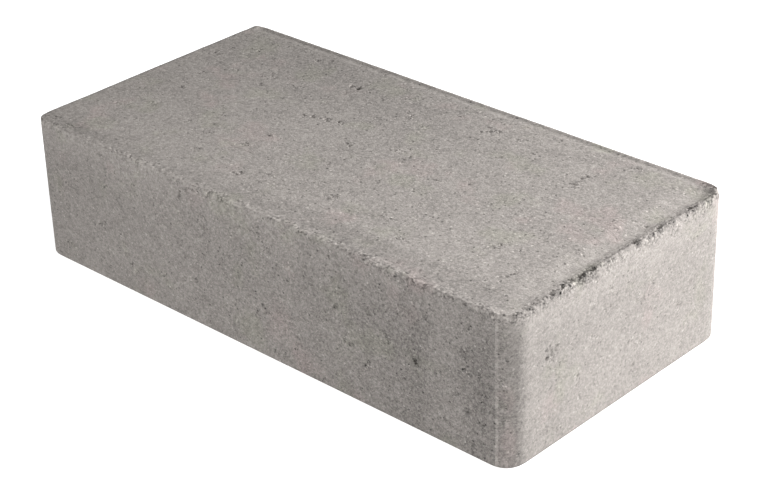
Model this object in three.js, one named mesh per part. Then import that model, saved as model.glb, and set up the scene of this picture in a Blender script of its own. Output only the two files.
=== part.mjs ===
// Concrete paving stone: one cast and pressed body, lying on its bed face.
// Millimetres, +Z up. X runs along the stone and Y across it.
// The origin is the middle of the bed face.

import * as THREE from 'three';

const { lerp, smoothstep } = THREE.MathUtils;

// Body
const stoneLength = 210;
const stoneWidth = 105;
const stoneThickness = 51.2; // bed face to flat wearing face
const cornerRunLong = 7.5; // how far a plan corner's curve runs along a long side
const cornerRunShort = 8.5; // and along a short side
const bedArris = 0.4; // worn edge round the bed face

// Rim of the two walls where the press head sat tight: a small round just below the wearing face
const tightRimInset = 0.45; // plan width of the round
const tightRimDrop = 0.1; // top of the round below the wearing face
const tightRimRound = 0.8; // height of the round

// Margin that the press head leaves along the other two walls: from a shallow valley up to the face
const marginWidth = 6;
const marginDrop = 0.95;

// Burr squeezed up between the press head and those two walls, rising out of the valley
const burrCrestInset = 0.9; // wall to the crest's line
const burrHeight = 0.15; // mean crest above the wearing face
const burrLipWidth = 0.45; // crest to the top of the steep inner side
const burrLipDrop = 0.05;
const burrSideWidth = 0.85; // plan width of the steep inner side
const burrFootRise = 0.9; // foot of the steep side above the valley
const burrSkirtWidth = 4; // hollow skirt between that foot and the valley
const shoulderDrop = 2.2; // crest down to where the outer shoulder meets the wall
const heightUnevenness = 0.2; // how far the crest wanders up and down
const widthUnevenness = 0.3; // how far the inner foot wanders in and out

// Where the burr stands: all of it along +X and a share of it along -Y, which grows towards +X
const frontShareFar = 0.35;
const frontShareNear = 0.75;
const frontShareGrowth = [-70, 60]; // along X
const endBurrReach = [3, 14]; // inside the +X wall, where the end's full burr fades to that share
const rimChange = [-4, 7]; // distance to a tight wall less that to a burred one, as the rims merge

// Fineness of the faceted surface
const sideStep = 3;
const cornerSteps = 8;

const concreteColour = 0xa5a099;

/** Plan outline at a distance inside the walls, as a closed path with sharper corners further in. */
function outlinePath(inset) {
  const halfLength = stoneLength / 2 - inset;
  const halfWidth = stoneWidth / 2 - inset;
  const runLong = cornerRunLong ** 2 / (cornerRunLong + inset);
  const runShort = cornerRunShort ** 2 / (cornerRunShort + inset);
  const path = new THREE.Path();
  path.moveTo(halfLength, -halfWidth + runShort);
  path.lineTo(halfLength, halfWidth - runShort);
  path.quadraticCurveTo(halfLength, halfWidth, halfLength - runLong, halfWidth);
  path.lineTo(-halfLength + runLong, halfWidth);
  path.quadraticCurveTo(-halfLength, halfWidth, -halfLength, halfWidth - runShort);
  path.lineTo(-halfLength, -halfWidth + runShort);
  path.quadraticCurveTo(-halfLength, -halfWidth, -halfLength + runLong, -halfWidth);
  path.lineTo(halfLength - runLong, -halfWidth);
  path.quadraticCurveTo(halfLength, -halfWidth, halfLength, -halfWidth + runShort);
  return path;
}

/** Number of facets on each of the outline's curves: the four sides and the corners between them. */
function facetCounts() {
  const alongShort = Math.ceil((stoneWidth - 2 * cornerRunShort) / sideStep);
  const alongLong = Math.ceil((stoneLength - 2 * cornerRunLong) / sideStep);
  return [
    alongShort, cornerSteps, alongLong, cornerSteps,
    alongShort, cornerSteps, alongLong, cornerSteps,
  ];
}

/** Outline points at an inset: as many at every inset, so that rings of them can be joined. */
function outlinePoints(inset) {
  const counts = facetCounts();
  return outlinePath(inset).curves.flatMap((curve, i) => curve.getPoints(counts[i]).slice(0, -1));
}

/** Share of the full burr at a point of the walls: 1 along +X, less along -Y, 0 along -X and +Y. */
function burrShare(wall) {
  const toBurredEnd = stoneLength / 2 - wall.x;
  const toBurredWall = Math.min(toBurredEnd, stoneWidth / 2 + wall.y);
  const toTightWall = Math.min(stoneLength / 2 + wall.x, stoneWidth / 2 - wall.y);
  const frontShare = lerp(frontShareFar, frontShareNear, smoothstep(wall.x, ...frontShareGrowth));
  const present = smoothstep(toTightWall - toBurredWall, ...rimChange);
  return present * lerp(1, frontShare, smoothstep(toBurredEnd, ...endBurrReach));
}

/** Uneven wave round the outline, between about -1 and 1, that closes on itself. */
function wave(turn, phase) {
  const angle = 2 * Math.PI * turn;
  const slow = 0.5 * Math.sin(7 * angle + phase);
  const middle = 0.3 * Math.sin(19 * angle + 2.3 * phase);
  const quick = 0.2 * Math.sin(43 * angle + 4.1 * phase);
  return slow + middle + quick;
}

/**
 * One closed ring of points: at one inset and height where the burr is full, where it may wander up or
 * inwards, and at another where the rim is tight.
 */
function ring(full, tight, rise = () => 0, creep = () => 0) {
  const fullPoints = outlinePoints(full.inset);
  const furtherIn = outlinePoints(full.inset + 1);
  const tightPoints = outlinePoints(tight.inset);
  return outlinePoints(0).map((wall, i) => {
    const turn = i / fullPoints.length;
    const share = burrShare(wall);
    const burred = fullPoints[i].clone().lerp(furtherIn[i], creep(turn));
    const moved = tightPoints[i].clone().lerp(burred, share);
    return new THREE.Vector3(moved.x, moved.y, lerp(tight.height, full.height + rise(turn), share));
  });
}

/** Rings from the bed face up the walls, over the rim and up to the flat wearing face. */
function stoneRings() {
  const crestHeight = stoneThickness + burrHeight;
  const valleyHeight = stoneThickness - marginDrop;
  const tightRimHeight = stoneThickness - tightRimDrop;
  const lipInset = burrCrestInset + burrLipWidth;
  const footInset = lipInset + burrSideWidth;
  const valleyInset = footInset + burrSkirtWidth;
  const crestRise = (turn) => heightUnevenness * wave(turn, 1);
  const footCreep = (turn) => widthUnevenness * wave(turn, 2);
  const even = (inset, height) => ring({ inset, height }, { inset, height });
  const shoulder = (angle) => ring(
    {
      inset: burrCrestInset * (1 - Math.cos(angle)),
      height: crestHeight - shoulderDrop * (1 - Math.sin(angle)),
    },
    {
      inset: tightRimInset * (1 - Math.cos(angle)),
      height: tightRimHeight - tightRimRound * (1 - Math.sin(angle)),
    },
    (turn) => crestRise(turn) * Math.sin(angle),
  );
  const lip = ring(
    { inset: lipInset, height: crestHeight - burrLipDrop },
    { inset: tightRimInset + burrLipWidth, height: stoneThickness - tightRimDrop / 2 },
    crestRise,
    footCreep,
  );
  const skirt = (share) => {
    const inset = footInset + burrSkirtWidth * share;
    return ring(
      { inset, height: valleyHeight + burrFootRise * (1 - share) ** 2 },
      { inset, height: stoneThickness },
      () => 0,
      (turn) => footCreep(turn) * (1 - share),
    );
  };
  const margin = (share) => {
    const inset = valleyInset + marginWidth * share;
    return ring(
      { inset, height: valleyHeight + marginDrop * smoothstep(share, 0, 1) },
      { inset, height: stoneThickness },
    );
  };
  return [
    even(bedArris, 0),
    even(0, bedArris),
    shoulder(0),
    shoulder(Math.PI / 6),
    shoulder(Math.PI / 3),
    shoulder(Math.PI / 2),
    lip,
    skirt(0),
    skirt(1 / 3),
    skirt(2 / 3),
    skirt(1),
    margin(1 / 3),
    margin(2 / 3),
    margin(1),
  ];
}

/** Closed body through the rings, with a flat cap on the first and the last. */
function bodyThroughRings(rings) {
  const count = rings[0].length;
  const positions = rings.flat().flatMap((point) => point.toArray());
  const faces = [];
  for (let level = 0; level < rings.length - 1; level += 1) {
    for (let i = 0; i < count; i += 1) {
      const low = level * count + i;
      const lowNext = level * count + ((i + 1) % count);
      faces.push([low, lowNext, lowNext + count], [low, lowNext + count, low + count]);
    }
  }
  const capOf = (points) => THREE.ShapeUtils.triangulateShape(
    points.map((point) => new THREE.Vector2(point.x, point.y)),
    [],
  );
  const last = (rings.length - 1) * count;
  capOf(rings[0]).forEach(([a, b, c]) => faces.push([a, c, b]));
  capOf(rings[rings.length - 1]).forEach(([a, b, c]) => faces.push([last + a, last + b, last + c]));
  const geometry = new THREE.BufferGeometry();
  geometry.setAttribute('position', new THREE.Float32BufferAttribute(positions, 3));
  geometry.setIndex(faces.flat());
  geometry.computeVertexNormals();
  return geometry;
}

const concrete = new THREE.MeshStandardMaterial({
  color: concreteColour,
  roughness: 0.95,
  metalness: 0,
});

const pavingStone = new THREE.Mesh(bodyThroughRings(stoneRings()), concrete);
pavingStone.name = 'paving_stone';

const part = new THREE.Group();
part.add(pavingStone);

export default part;
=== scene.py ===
"""Concrete paving stone: one pressed body with a crumbly burr along two top edges, on a studio floor.

Meshes are worked out in millimetres and made in metres. The origin is the middle of the bed face, X runs
along the stone, Y across it and Z up out of the wearing face.
"""

import logging
import math
from collections.abc import Iterator
from dataclasses import dataclass
from enum import Enum
from itertools import product
from typing import Any, ClassVar

import bpy
import numpy as np
from mathutils import Matrix, Vector, kdtree
from numpy.typing import NDArray


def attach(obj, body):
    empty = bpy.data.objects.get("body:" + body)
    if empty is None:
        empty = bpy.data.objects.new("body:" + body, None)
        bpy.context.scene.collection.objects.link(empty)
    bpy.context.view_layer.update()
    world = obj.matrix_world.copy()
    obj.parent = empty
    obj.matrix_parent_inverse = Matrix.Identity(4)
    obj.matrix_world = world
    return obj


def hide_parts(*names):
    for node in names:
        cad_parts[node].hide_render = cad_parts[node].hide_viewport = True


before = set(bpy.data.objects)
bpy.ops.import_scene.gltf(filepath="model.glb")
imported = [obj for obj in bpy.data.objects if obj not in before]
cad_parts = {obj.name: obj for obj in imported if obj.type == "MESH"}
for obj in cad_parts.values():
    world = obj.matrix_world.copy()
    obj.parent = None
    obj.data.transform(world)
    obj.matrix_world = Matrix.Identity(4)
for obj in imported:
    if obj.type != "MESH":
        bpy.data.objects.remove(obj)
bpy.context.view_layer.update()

log = logging.getLogger("paving_stone")

Floats = NDArray[np.float64]
Ints = NDArray[np.int64]
Span = tuple[float, float]
Triple = tuple[float, float, float]
Colour = Triple

MILLIMETRE = 0.001


def fade(values: Floats, low: float, high: float) -> Floats:
    """Smooth step from 0 at low to 1 at high, or the other way round where low is the larger.

    Args:
        values: Numbers to judge.
        low: Value where the step starts.
        high: Value where it ends.

    Returns:
        One number between 0 and 1 per value.
    """
    share = np.clip((values - low) / (high - low), 0, 1)
    return share * share * (3 - 2 * share)


def hump(away: Floats, reach: float) -> Floats:
    """Soft hump that is 1 at its middle and dies away over its reach.

    Args:
        away: Distances from its middle.
        reach: How far it reaches.

    Returns:
        One number between 0 and 1 per distance.
    """
    return np.exp(-((away / reach) ** 2))


class Face(Enum):
    """A face of the stone: the two axes that lie in it, the axis across it and its side of the middle."""

    TOP = (0, 1, 2, 1)
    LONG_FRONT = (0, 2, 1, -1)
    LONG_BACK = (0, 2, 1, 1)
    END_RIGHT = (1, 2, 0, 1)
    END_LEFT = (1, 2, 0, -1)


# Noise


@dataclass(frozen=True)
class SpaceNoise:
    """Repeatable noise that is fixed to points of space.

    Attributes:
        seed: Picks one of many unlike patterns.
    """

    seed: int

    STRIDES: ClassVar[Ints] = np.array([73856093, 19349663, 83492791], dtype=np.int64)
    MIXERS: ClassVar[tuple[np.uint64, ...]] = (np.uint64(0xFF51AFD7ED558CCD), np.uint64(0xC4CEB9FE1A85EC53))
    SHIFT: ClassVar[np.uint64] = np.uint64(33)
    SEED_STRIDE: ClassVar[int] = 7919
    CHANNEL_STRIDE: ClassVar[int] = 104729
    LAYER_STRIDE: ClassVar[int] = 101
    FULL_SCALE: ClassVar[float] = 2.0**31
    GAIN: ClassVar[float] = 1.6
    GRAIN_REACH: ClassVar[float] = 0.7
    LOWEST_GRAIN: ClassVar[float] = 0.4

    def draw(self, cells: Ints, channel: int) -> Floats:
        """Draws a number for each cell of a lattice.

        Args:
            cells: Whole-number cell coordinates, three to a row.
            channel: Picks one of several unlike draws for the same cell.

        Returns:
            One number between 0 and 1 per cell.
        """
        place = cells @ self.STRIDES + self.SEED_STRIDE * self.seed + self.CHANNEL_STRIDE * channel
        bits = place.astype(np.uint64)
        for mixer in self.MIXERS:
            bits ^= bits >> self.SHIFT
            bits *= mixer
        return (bits >> self.SHIFT).astype(np.float64) / self.FULL_SCALE

    def smooth(self, points: Floats, size: float) -> Floats:
        """Smooth swelling noise.

        Args:
            points: Points in millimetres, three to a row.
            size: Typical distance between two swellings.

        Returns:
            One number per point, mostly between -1 and 1.
        """
        scaled = points / size
        cells = np.floor(scaled).astype(np.int64)
        within = scaled - cells
        eased = within**3 * (within * (within * 6 - 15) + 10)
        total = np.zeros(len(points))
        for corner in product((0, 1), repeat=3):
            offset = np.array(corner)
            draws = [self.draw(cells + offset, axis) for axis in range(3)]
            gradient = np.stack(draws, axis=1) * 2 - 1
            pull = np.sum(gradient * (within - offset), axis=1)
            total += pull * np.prod(np.where(offset, eased, 1 - eased), axis=1)
        return total * self.GAIN

    def layered(self, points: Floats, size: float, layers: int) -> Floats:
        """Smooth noise with finer layers added, each half as large and half as strong.

        Args:
            points: Points in millimetres, three to a row.
            size: Size of the coarsest layer.
            layers: Number of layers.

        Returns:
            One number per point, mostly between -1 and 1.
        """
        total = np.zeros(len(points))
        for layer in range(layers):
            finer = SpaceNoise(self.seed + self.LAYER_STRIDE * layer)
            total += finer.smooth(points, size / 2**layer) / 2**layer
        return total / (2 - 2.0 ** (1 - layers))

    def domes(self, points: Floats, size: float) -> Floats:
        """Packed grains of sand, seen as rounded heads of unlike heights.

        Args:
            points: Points in millimetres, three to a row.
            size: Typical width of a grain.

        Returns:
            One height per point, from 0 between the grains to 1 on the highest of them.
        """
        scaled = points / size
        cells = np.floor(scaled).astype(np.int64)
        height = np.zeros(len(points))
        for step in product((-1, 0, 1), repeat=3):
            near = cells + np.array(step)
            middle = near + np.stack([self.draw(near, axis) for axis in range(3)], axis=1)
            gap = np.sum((middle - scaled) ** 2, axis=1)
            head = self.LOWEST_GRAIN + (1 - self.LOWEST_GRAIN) * self.draw(near, 3)
            height = np.maximum(height, (1 - gap / self.GRAIN_REACH) * head)
        return height


# Pits


@dataclass(frozen=True)
class Pit:
    """A hollow that trapped air or a lost grain left in a face.

    Attributes:
        face: The face it is in.
        across: Its place along the face's first axis.
        along: Its place along the face's second axis.
        radius: Radius of its mouth.
        depth: Its depth.
        sunk: How far its mouth lies below the face.
    """

    face: Face
    across: float
    along: float
    radius: float
    depth: float
    sunk: float = 0.0


@dataclass(frozen=True)
class CrumbledSpot:
    """Small pits close together along a short line.

    Attributes:
        face: The face it is in.
        start: One end of the line, along the face's own two axes.
        end: The other end.
        count: How many pits.
        spread: How far they stray from the line.
        radius: Mean radius of their mouths.
        depth: Their mean depth.
        sunk: How far the ground there lies below the face.
    """

    face: Face
    start: Span
    end: Span
    count: int
    spread: float
    radius: float = 0.45
    depth: float = 0.41
    sunk: float = 0.0

    RADIUS_SHARES: ClassVar[Span] = (0.7, 1.4)
    DEPTH_SHARES: ClassVar[Span] = (0.6, 1.3)

    def pits(self, random: np.random.Generator) -> Iterator[Pit]:
        """Scatters the spot's pits.

        Args:
            random: Source of the scatter.

        Yields:
            Each pit.
        """
        for _ in range(self.count):
            share = random.uniform()
            across, along = (a + (b - a) * share for a, b in zip(self.start, self.end))
            yield Pit(
                self.face,
                across + random.normal(0, self.spread),
                along + random.normal(0, self.spread),
                self.radius * random.uniform(*self.RADIUS_SHARES),
                self.depth * random.uniform(*self.DEPTH_SHARES),
                self.sunk,
            )


@dataclass(frozen=True)
class PitField:
    """All the pits of the stone: those at listed places, and those scattered over the faces.

    The bed face has none.

    Attributes:
        half_size: Half the stone's length and width, and its thickness.
        seed: Picks the scatter.
        margin: Room that a scattered pit keeps to the edges of its face.
    """

    half_size: Triple
    seed: int = 41
    margin: float = 3.0

    SCATTERED: ClassVar[dict[Face, int]] = {
        Face.TOP: 56,
        Face.LONG_FRONT: 44,
        Face.LONG_BACK: 44,
        Face.END_RIGHT: 18,
        Face.END_LEFT: 20,
    }
    SPOTS: ClassVar[tuple[CrumbledSpot, ...]] = (
        CrumbledSpot(Face.TOP, (-39.7, 34.7), (-35.7, 34.7), 6, 0.7, 0.7, 0.7),
        CrumbledSpot(Face.TOP, (-69.7, 22.7), (-63.7, 22.7), 7, 1.2),
        CrumbledSpot(Face.TOP, (-89.7, 35.2), (-85.7, 35.2), 5, 1.2),
        CrumbledSpot(Face.TOP, (-96.7, 25.2), (-94.7, 24.7), 4, 0.8),
        CrumbledSpot(Face.TOP, (-87.7, 8.7), (-85.7, 9.7), 4, 0.8),
        CrumbledSpot(Face.TOP, (-35.7, 7.2), (-18.7, 11.2), 16, 0.7, 0.5, 0.5),
        CrumbledSpot(Face.TOP, (-7.7, 0.7), (-5.7, 0.7), 4, 0.6, 0.55, 0.5),
        CrumbledSpot(Face.TOP, (5.3, 6.9), (14.3, 6.9), 8, 0.6),
        CrumbledSpot(Face.TOP, (18.8, 39.2), (23.8, 39.7), 6, 0.5),
        CrumbledSpot(Face.TOP, (23.3, 38.7), (19.3, 35.7), 6, 0.5),
        CrumbledSpot(Face.TOP, (-2.7, 25.2), (-8.7, 31.2), 6, 1.2),
        CrumbledSpot(Face.TOP, (35.3, 24.7), (37.3, 24.7), 4, 0.8),
        CrumbledSpot(Face.TOP, (66.3, 33.7), (66.3, 24.7), 10, 0.4, 0.5, 0.5),
        CrumbledSpot(Face.TOP, (-28.7, -10.8), (-32.7, -11.8), 4, 0.6),
        CrumbledSpot(Face.TOP, (-32.7, -20.8), (-34.7, -21.3), 4, 0.7),
        CrumbledSpot(Face.TOP, (-84.7, -3.8), (-82.7, -4.3), 4, 0.6),
        CrumbledSpot(Face.TOP, (-82.7, -18.8), (-79.7, -19.3), 4, 0.7),
        CrumbledSpot(Face.TOP, (-56.7, -9.8), (-54.7, -10.3), 4, 0.7),
        CrumbledSpot(Face.TOP, (74.3, -18.3), (75.3, -23.3), 7, 0.8),
        CrumbledSpot(Face.TOP, (12.3, -29.8), (14.3, -29.8), 5, 0.6, 0.6, 0.6),
        CrumbledSpot(Face.TOP, (49.3, -35.8), (51.3, -35.8), 4, 0.8),
        CrumbledSpot(Face.TOP, (-18.7, -36.8), (-20.7, -37.3), 5, 0.8),
        CrumbledSpot(Face.TOP, (89.3, -29.3), (85.3, -37.3), 8, 1.6),
        CrumbledSpot(Face.TOP, (101.8, 37.2), (103.4, 35.2), 11, 0.5, 0.52, 0.8),
        CrumbledSpot(Face.TOP, (103.0, 20.6), (103.4, 16.0), 7, 0.6, 0.42, 0.4),
        CrumbledSpot(Face.TOP, (99.5, 18.6), (99.2, 17.8), 4, 0.25, 0.6, 0.7, 0.8),
        CrumbledSpot(Face.TOP, (102.6, 19.8), (103.3, 19.0), 5, 0.3, 0.55, 0.65),
        CrumbledSpot(Face.TOP, (102.0, 8.0), (103.8, 5.8), 9, 0.45, 0.5, 0.75),
        CrumbledSpot(Face.TOP, (101.8, -12.9), (104.2, -15.4), 15, 0.65, 0.55, 0.85),
        CrumbledSpot(Face.TOP, (103.3, -17.2), (104.9, -20.6), 18, 0.75, 0.55, 0.85),
        CrumbledSpot(Face.END_RIGHT, (-15.6, 51.0), (-16.2, 49.8), 5, 0.35, 0.42, 0.45),
        CrumbledSpot(Face.END_RIGHT, (-19.0, 51.0), (-20.2, 49.2), 7, 0.45, 0.42, 0.45),
        CrumbledSpot(Face.END_RIGHT, (-24.6, 51.0), (-25.6, 50.2), 5, 0.4, 0.4, 0.4),
        CrumbledSpot(Face.END_RIGHT, (34.0, 51.0), (34.6, 49.6), 5, 0.3, 0.42, 0.45),
        CrumbledSpot(Face.END_RIGHT, (5.4, 51.0), (6.2, 49.9), 5, 0.3, 0.42, 0.45),
        CrumbledSpot(Face.TOP, (103.7, -23.4), (104.8, -24.8), 6, 0.35, 0.5, 0.6),
        CrumbledSpot(Face.TOP, (103.6, -27.6), (104.6, -28.8), 5, 0.3, 0.5, 0.6),
        CrumbledSpot(Face.TOP, (103.2, -32.0), (104.4, -33.4), 6, 0.35, 0.5, 0.6),
        CrumbledSpot(Face.TOP, (104.3, -37.4), (104.6, -42.2), 7, 0.6, 0.42, 0.4),
        CrumbledSpot(Face.TOP, (99.7, -45.8), (100.3, -46.6), 3, 0.3, 0.5, 0.5, 0.5),
        CrumbledSpot(Face.END_RIGHT, (-43.8, 50.8), (-47.2, 49.4), 11, 0.55, 0.45, 0.42),
        CrumbledSpot(Face.TOP, (103.4, -48.4), (101.6, -50.6), 6, 0.6, 0.42, 0.34),
        CrumbledSpot(Face.TOP, (47.5, -50.9), (50.5, -51.2), 5, 0.3, 0.45, 0.5),
        CrumbledSpot(Face.LONG_FRONT, (99.0, 50.7), (102.5, 50.3), 7, 0.4, 0.55, 0.55),
        CrumbledSpot(Face.LONG_FRONT, (79.5, 50.9), (84.5, 50.7), 8, 0.35, 0.5, 0.5),
        CrumbledSpot(Face.LONG_FRONT, (87.5, 50.8), (89.5, 50.4), 3, 0.3, 0.45, 0.45),
        CrumbledSpot(Face.LONG_FRONT, (68.0, 50.6), (73.0, 50.6), 6, 0.4, 0.45, 0.45),
        CrumbledSpot(Face.LONG_FRONT, (39.0, 51.0), (43.0, 50.8), 6, 0.3, 0.45, 0.45),
        CrumbledSpot(Face.LONG_FRONT, (22.0, 51.2), (28.0, 51.0), 6, 0.4, 0.45, 0.4),
        CrumbledSpot(Face.LONG_FRONT, (-19.0, 50.6), (-9.0, 50.2), 7, 0.4, 0.42, 0.35),
        CrumbledSpot(Face.TOP, (-95.5, -51.9), (-91.5, -51.0), 5, 0.35, 0.42, 0.4),
        CrumbledSpot(Face.TOP, (-90.8, -49.1), (-88.4, -48.8), 4, 0.3, 0.42, 0.4),
        CrumbledSpot(Face.TOP, (-66.2, -51.8), (-49.3, -51.0), 7, 0.8, 0.42, 0.36),
        CrumbledSpot(Face.LONG_FRONT, (-78, 49.0), (-44, 49.4), 8, 1.2, 0.4, 0.32),
        CrumbledSpot(Face.LONG_FRONT, (-29, 48.9), (-22, 49.8), 4, 0.5, 0.42, 0.38),
        CrumbledSpot(Face.LONG_FRONT, (-32, 45.9), (-31, 45.5), 3, 0.5, 0.6, 0.6),
        CrumbledSpot(Face.LONG_FRONT, (7, 40.9), (9, 39.5), 5, 0.9),
        CrumbledSpot(Face.LONG_FRONT, (37, 29.9), (38, 29), 3, 0.6),
        CrumbledSpot(Face.LONG_FRONT, (50, 34), (52, 33.6), 4, 0.7),
        CrumbledSpot(Face.LONG_FRONT, (69, 24.6), (69.4, 23.4), 4, 0.4, 0.7, 0.7),
        CrumbledSpot(Face.LONG_FRONT, (73, 41), (74, 40), 3, 0.6),
        CrumbledSpot(Face.LONG_FRONT, (89, 35.5), (88, 34.6), 4, 0.6),
        CrumbledSpot(Face.LONG_FRONT, (89, 17), (90, 14.5), 7, 0.8),
        CrumbledSpot(Face.LONG_FRONT, (96, 23), (96, 22), 3, 0.5),
        CrumbledSpot(Face.LONG_FRONT, (80, 10), (81, 9.5), 3, 0.6),
        CrumbledSpot(Face.LONG_FRONT, (19, 12), (22, 11.5), 5, 1.0),
        CrumbledSpot(Face.LONG_FRONT, (4, 17), (9, 16.8), 5, 0.7),
        CrumbledSpot(Face.LONG_FRONT, (-27, 17), (-26, 16.5), 3, 0.6),
        CrumbledSpot(Face.LONG_FRONT, (-72, 22), (-71, 21.5), 3, 0.6),
        CrumbledSpot(Face.LONG_FRONT, (-59, 12), (-58, 11.6), 3, 0.6),
        CrumbledSpot(Face.LONG_FRONT, (49, 15), (50, 14.6), 3, 0.6),
        CrumbledSpot(Face.LONG_FRONT, (58, 29), (58, 23.6), 6, 0.5),
        CrumbledSpot(Face.END_RIGHT, (-36.5, 33.5), (-36, 30.5), 5, 0.3, 0.42, 0.5),
        CrumbledSpot(Face.END_RIGHT, (-34, 34), (-33.6, 30), 6, 0.3, 0.42, 0.5),
        CrumbledSpot(Face.END_RIGHT, (-31.6, 33.6), (-31.4, 31), 5, 0.3, 0.42, 0.5),
        CrumbledSpot(Face.END_RIGHT, (-21.5, 19.2), (-21.6, 15.6), 4, 0.3, 0.45, 0.45),
        CrumbledSpot(Face.END_RIGHT, (5.3, 9.6), (5.7, 9.2), 2, 0.3, 0.6, 0.6),
    )
    CLUSTER_STRAY: ClassVar[Span] = (2.5, 1.5)
    CLUSTER_PITS: ClassVar[tuple[int, int]] = (1, 7)
    CLUSTER_SPREAD: ClassVar[float] = 0.7
    CLUSTER_RADIUS: ClassVar[float] = 0.36
    CLUSTER_DEPTH: ClassVar[float] = 0.3
    BIN: ClassVar[float] = 2.0
    HALO: ClassVar[float] = 1.0
    HALO_START: ClassVar[float] = 0.3
    PIT_SIDE: ClassVar[Span] = (1.15, 0.35)
    RAGGED: ClassVar[float] = 0.4
    RAG_SIZE: ClassVar[float] = 0.9

    def _all(self) -> list[Pit]:
        """Gathers the placed pits and the scattered ones.

        Returns:
            The pits.
        """
        random = np.random.default_rng(self.seed)
        found = [pit for spot in self.SPOTS for pit in spot.pits(random)]
        for face, count in self.SCATTERED.items():
            first, second = face.value[:2]
            low = 0 if second == 2 else -self.half_size[second]
            for _ in range(count):
                across = random.uniform(-1, 1) * (self.half_size[first] - self.margin)
                along = random.uniform(low + self.margin, self.half_size[second] - self.margin)
                end = tuple(
                    place + random.normal(0, stray)
                    for place, stray in zip((across, along), self.CLUSTER_STRAY)
                )
                cluster = CrumbledSpot(
                    face,
                    (across, along),
                    end,
                    int(random.integers(*self.CLUSTER_PITS)),
                    self.CLUSTER_SPREAD,
                    self.CLUSTER_RADIUS,
                    self.CLUSTER_DEPTH,
                )
                found.extend(cluster.pits(random))
        return found

    def _middle(self, pit: Pit) -> Floats:
        """Works out where a pit's mouth is in space.

        Args:
            pit: The pit.

        Returns:
            The place, in millimetres.
        """
        first, second, normal, side = pit.face.value
        middle = np.zeros(3)
        middle[first], middle[second] = pit.across, pit.along
        middle[normal] = side * (self.half_size[normal] - pit.sunk)
        return middle

    def hollows(self, points: Floats) -> tuple[Floats, Floats]:
        """Finds the pits under each point.

        Args:
            points: Points of the whole surface.

        Returns:
            The pits' depth at each point, and how open the skin is there from the pits close by.
        """
        ragged = 1 + self.RAGGED * SpaceNoise(self.seed).smooth(points, self.RAG_SIZE)
        bins = np.floor(points / self.BIN).astype(np.int64)
        keys = bins @ SpaceNoise.STRIDES
        order = np.argsort(keys, kind="stable")
        ranked = keys[order]
        around = np.array(list(product((-1, 0, 1), repeat=3)))
        deepest = np.zeros(len(points))
        opened = np.zeros(len(points))
        for pit in self._all():
            middle = self._middle(pit)
            near = np.floor(middle / self.BIN).astype(np.int64) + around
            for key in near @ SpaceNoise.STRIDES:
                low, high = np.searchsorted(ranked, (key, key + 1))
                here = order[low:high]
                away = np.linalg.norm(points[here] - middle, axis=1) / ragged[here]
                hollow = pit.depth * fade(away / pit.radius, *self.PIT_SIDE)
                halo = fade(away, pit.radius + self.HALO, self.HALO_START * pit.radius)
                deepest[here] = np.maximum(deepest[here], hollow)
                opened[here] = np.maximum(opened[here], halo)
        return deepest, opened


@dataclass(frozen=True)
class Blotch:
    """A soft-edged patch painted lighter or darker, warmer or cooler; some are the concrete's own colour,
    some stand in for light and shade.

    Attributes:
        middle: Its middle in space.
        reach: How far it reaches along each axis.
        tone: How much lighter it is.
        warmth: How much pinker it is.
    """

    middle: Triple
    reach: Triple
    tone: float = 0.0
    warmth: float = 0.0


# The stone's shape


@dataclass(frozen=True)
class PlanOutline:
    """The stone seen from above: a rectangle with curved corners.

    Attributes:
        length: Size along X.
        width: Size along Y.
        corner_run_long: How far a corner's curve runs along a long side.
        corner_run_short: How far it runs along a short side.
    """

    length: float = 210.0
    width: float = 105.0
    corner_run_long: float = 7.5
    corner_run_short: float = 8.5

    CORNERS: ClassVar[tuple[tuple[int, int], ...]] = ((1, -1), (1, 1), (-1, 1), (-1, -1))

    def inset(self, points: Floats) -> Floats:
        """Distance inside the nearest of the four straight walls.

        Args:
            points: Points, with their place in plan first.

        Returns:
            One distance per point.
        """
        x, y = abs(points[:, 0]), abs(points[:, 1])
        return np.minimum(self.length / 2 - x, self.width / 2 - y)

    def corner(self, inset: Floats, end: int, side: int) -> tuple[Floats, Floats, Floats]:
        """Control points of a corner's curve, which is sharper further in.

        Args:
            inset: Distances inside the walls.
            end: Sign of the stone's end that the corner is at.
            side: Sign of the side that it is on.

        Returns:
            Where the curve leaves the short side, its control point, and where it joins the long side.
        """
        x = self.length / 2 - inset
        y = self.width / 2 - inset
        run_x = self.corner_run_long**2 / (self.corner_run_long + inset)
        run_y = self.corner_run_short**2 / (self.corner_run_short + inset)
        signs = np.array([end, side])
        on_short = np.stack([x, y - run_y], axis=-1) * signs
        on_long = np.stack([x - run_x, y], axis=-1) * signs
        return on_short, np.stack([x, y], axis=-1) * signs, on_long

    def rings(self, insets: Floats, steps: tuple[int, int, int]) -> Floats:
        """Closed rings of points, anticlockwise from the middle of the corner at +X and -Y.

        Args:
            insets: Distance inside the walls of every point, one row to a ring.
            steps: Numbers of steps along a short side, along a long side and round a corner.

        Returns:
            Points in plan, one row to a ring.
        """
        half_corner = steps[2] // 2
        insets = np.roll(insets, -half_corner, axis=1)
        parts = []
        column = 0
        for index, here in enumerate(self.CORNERS):
            there = self.CORNERS[(index + 1) % 4]
            on_long = index % 2
            for count, is_corner in ((steps[on_long], False), (steps[2], True)):
                inset = insets[:, column : column + count]
                column += count
                controls = self.corner(inset, *there)
                first, middle, last = controls[::-1] if on_long else controls
                if not is_corner:
                    first, last = self.corner(inset, *here)[2 * on_long], first
                    middle = (first + last) / 2
                share = (np.arange(count) / count)[None, :, None]
                bent = (1 - share) ** 2 * first + 2 * share * (1 - share) * middle + share**2 * last
                parts.append(bent)
        return np.roll(np.concatenate(parts, axis=1), half_corner, axis=1)


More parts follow.
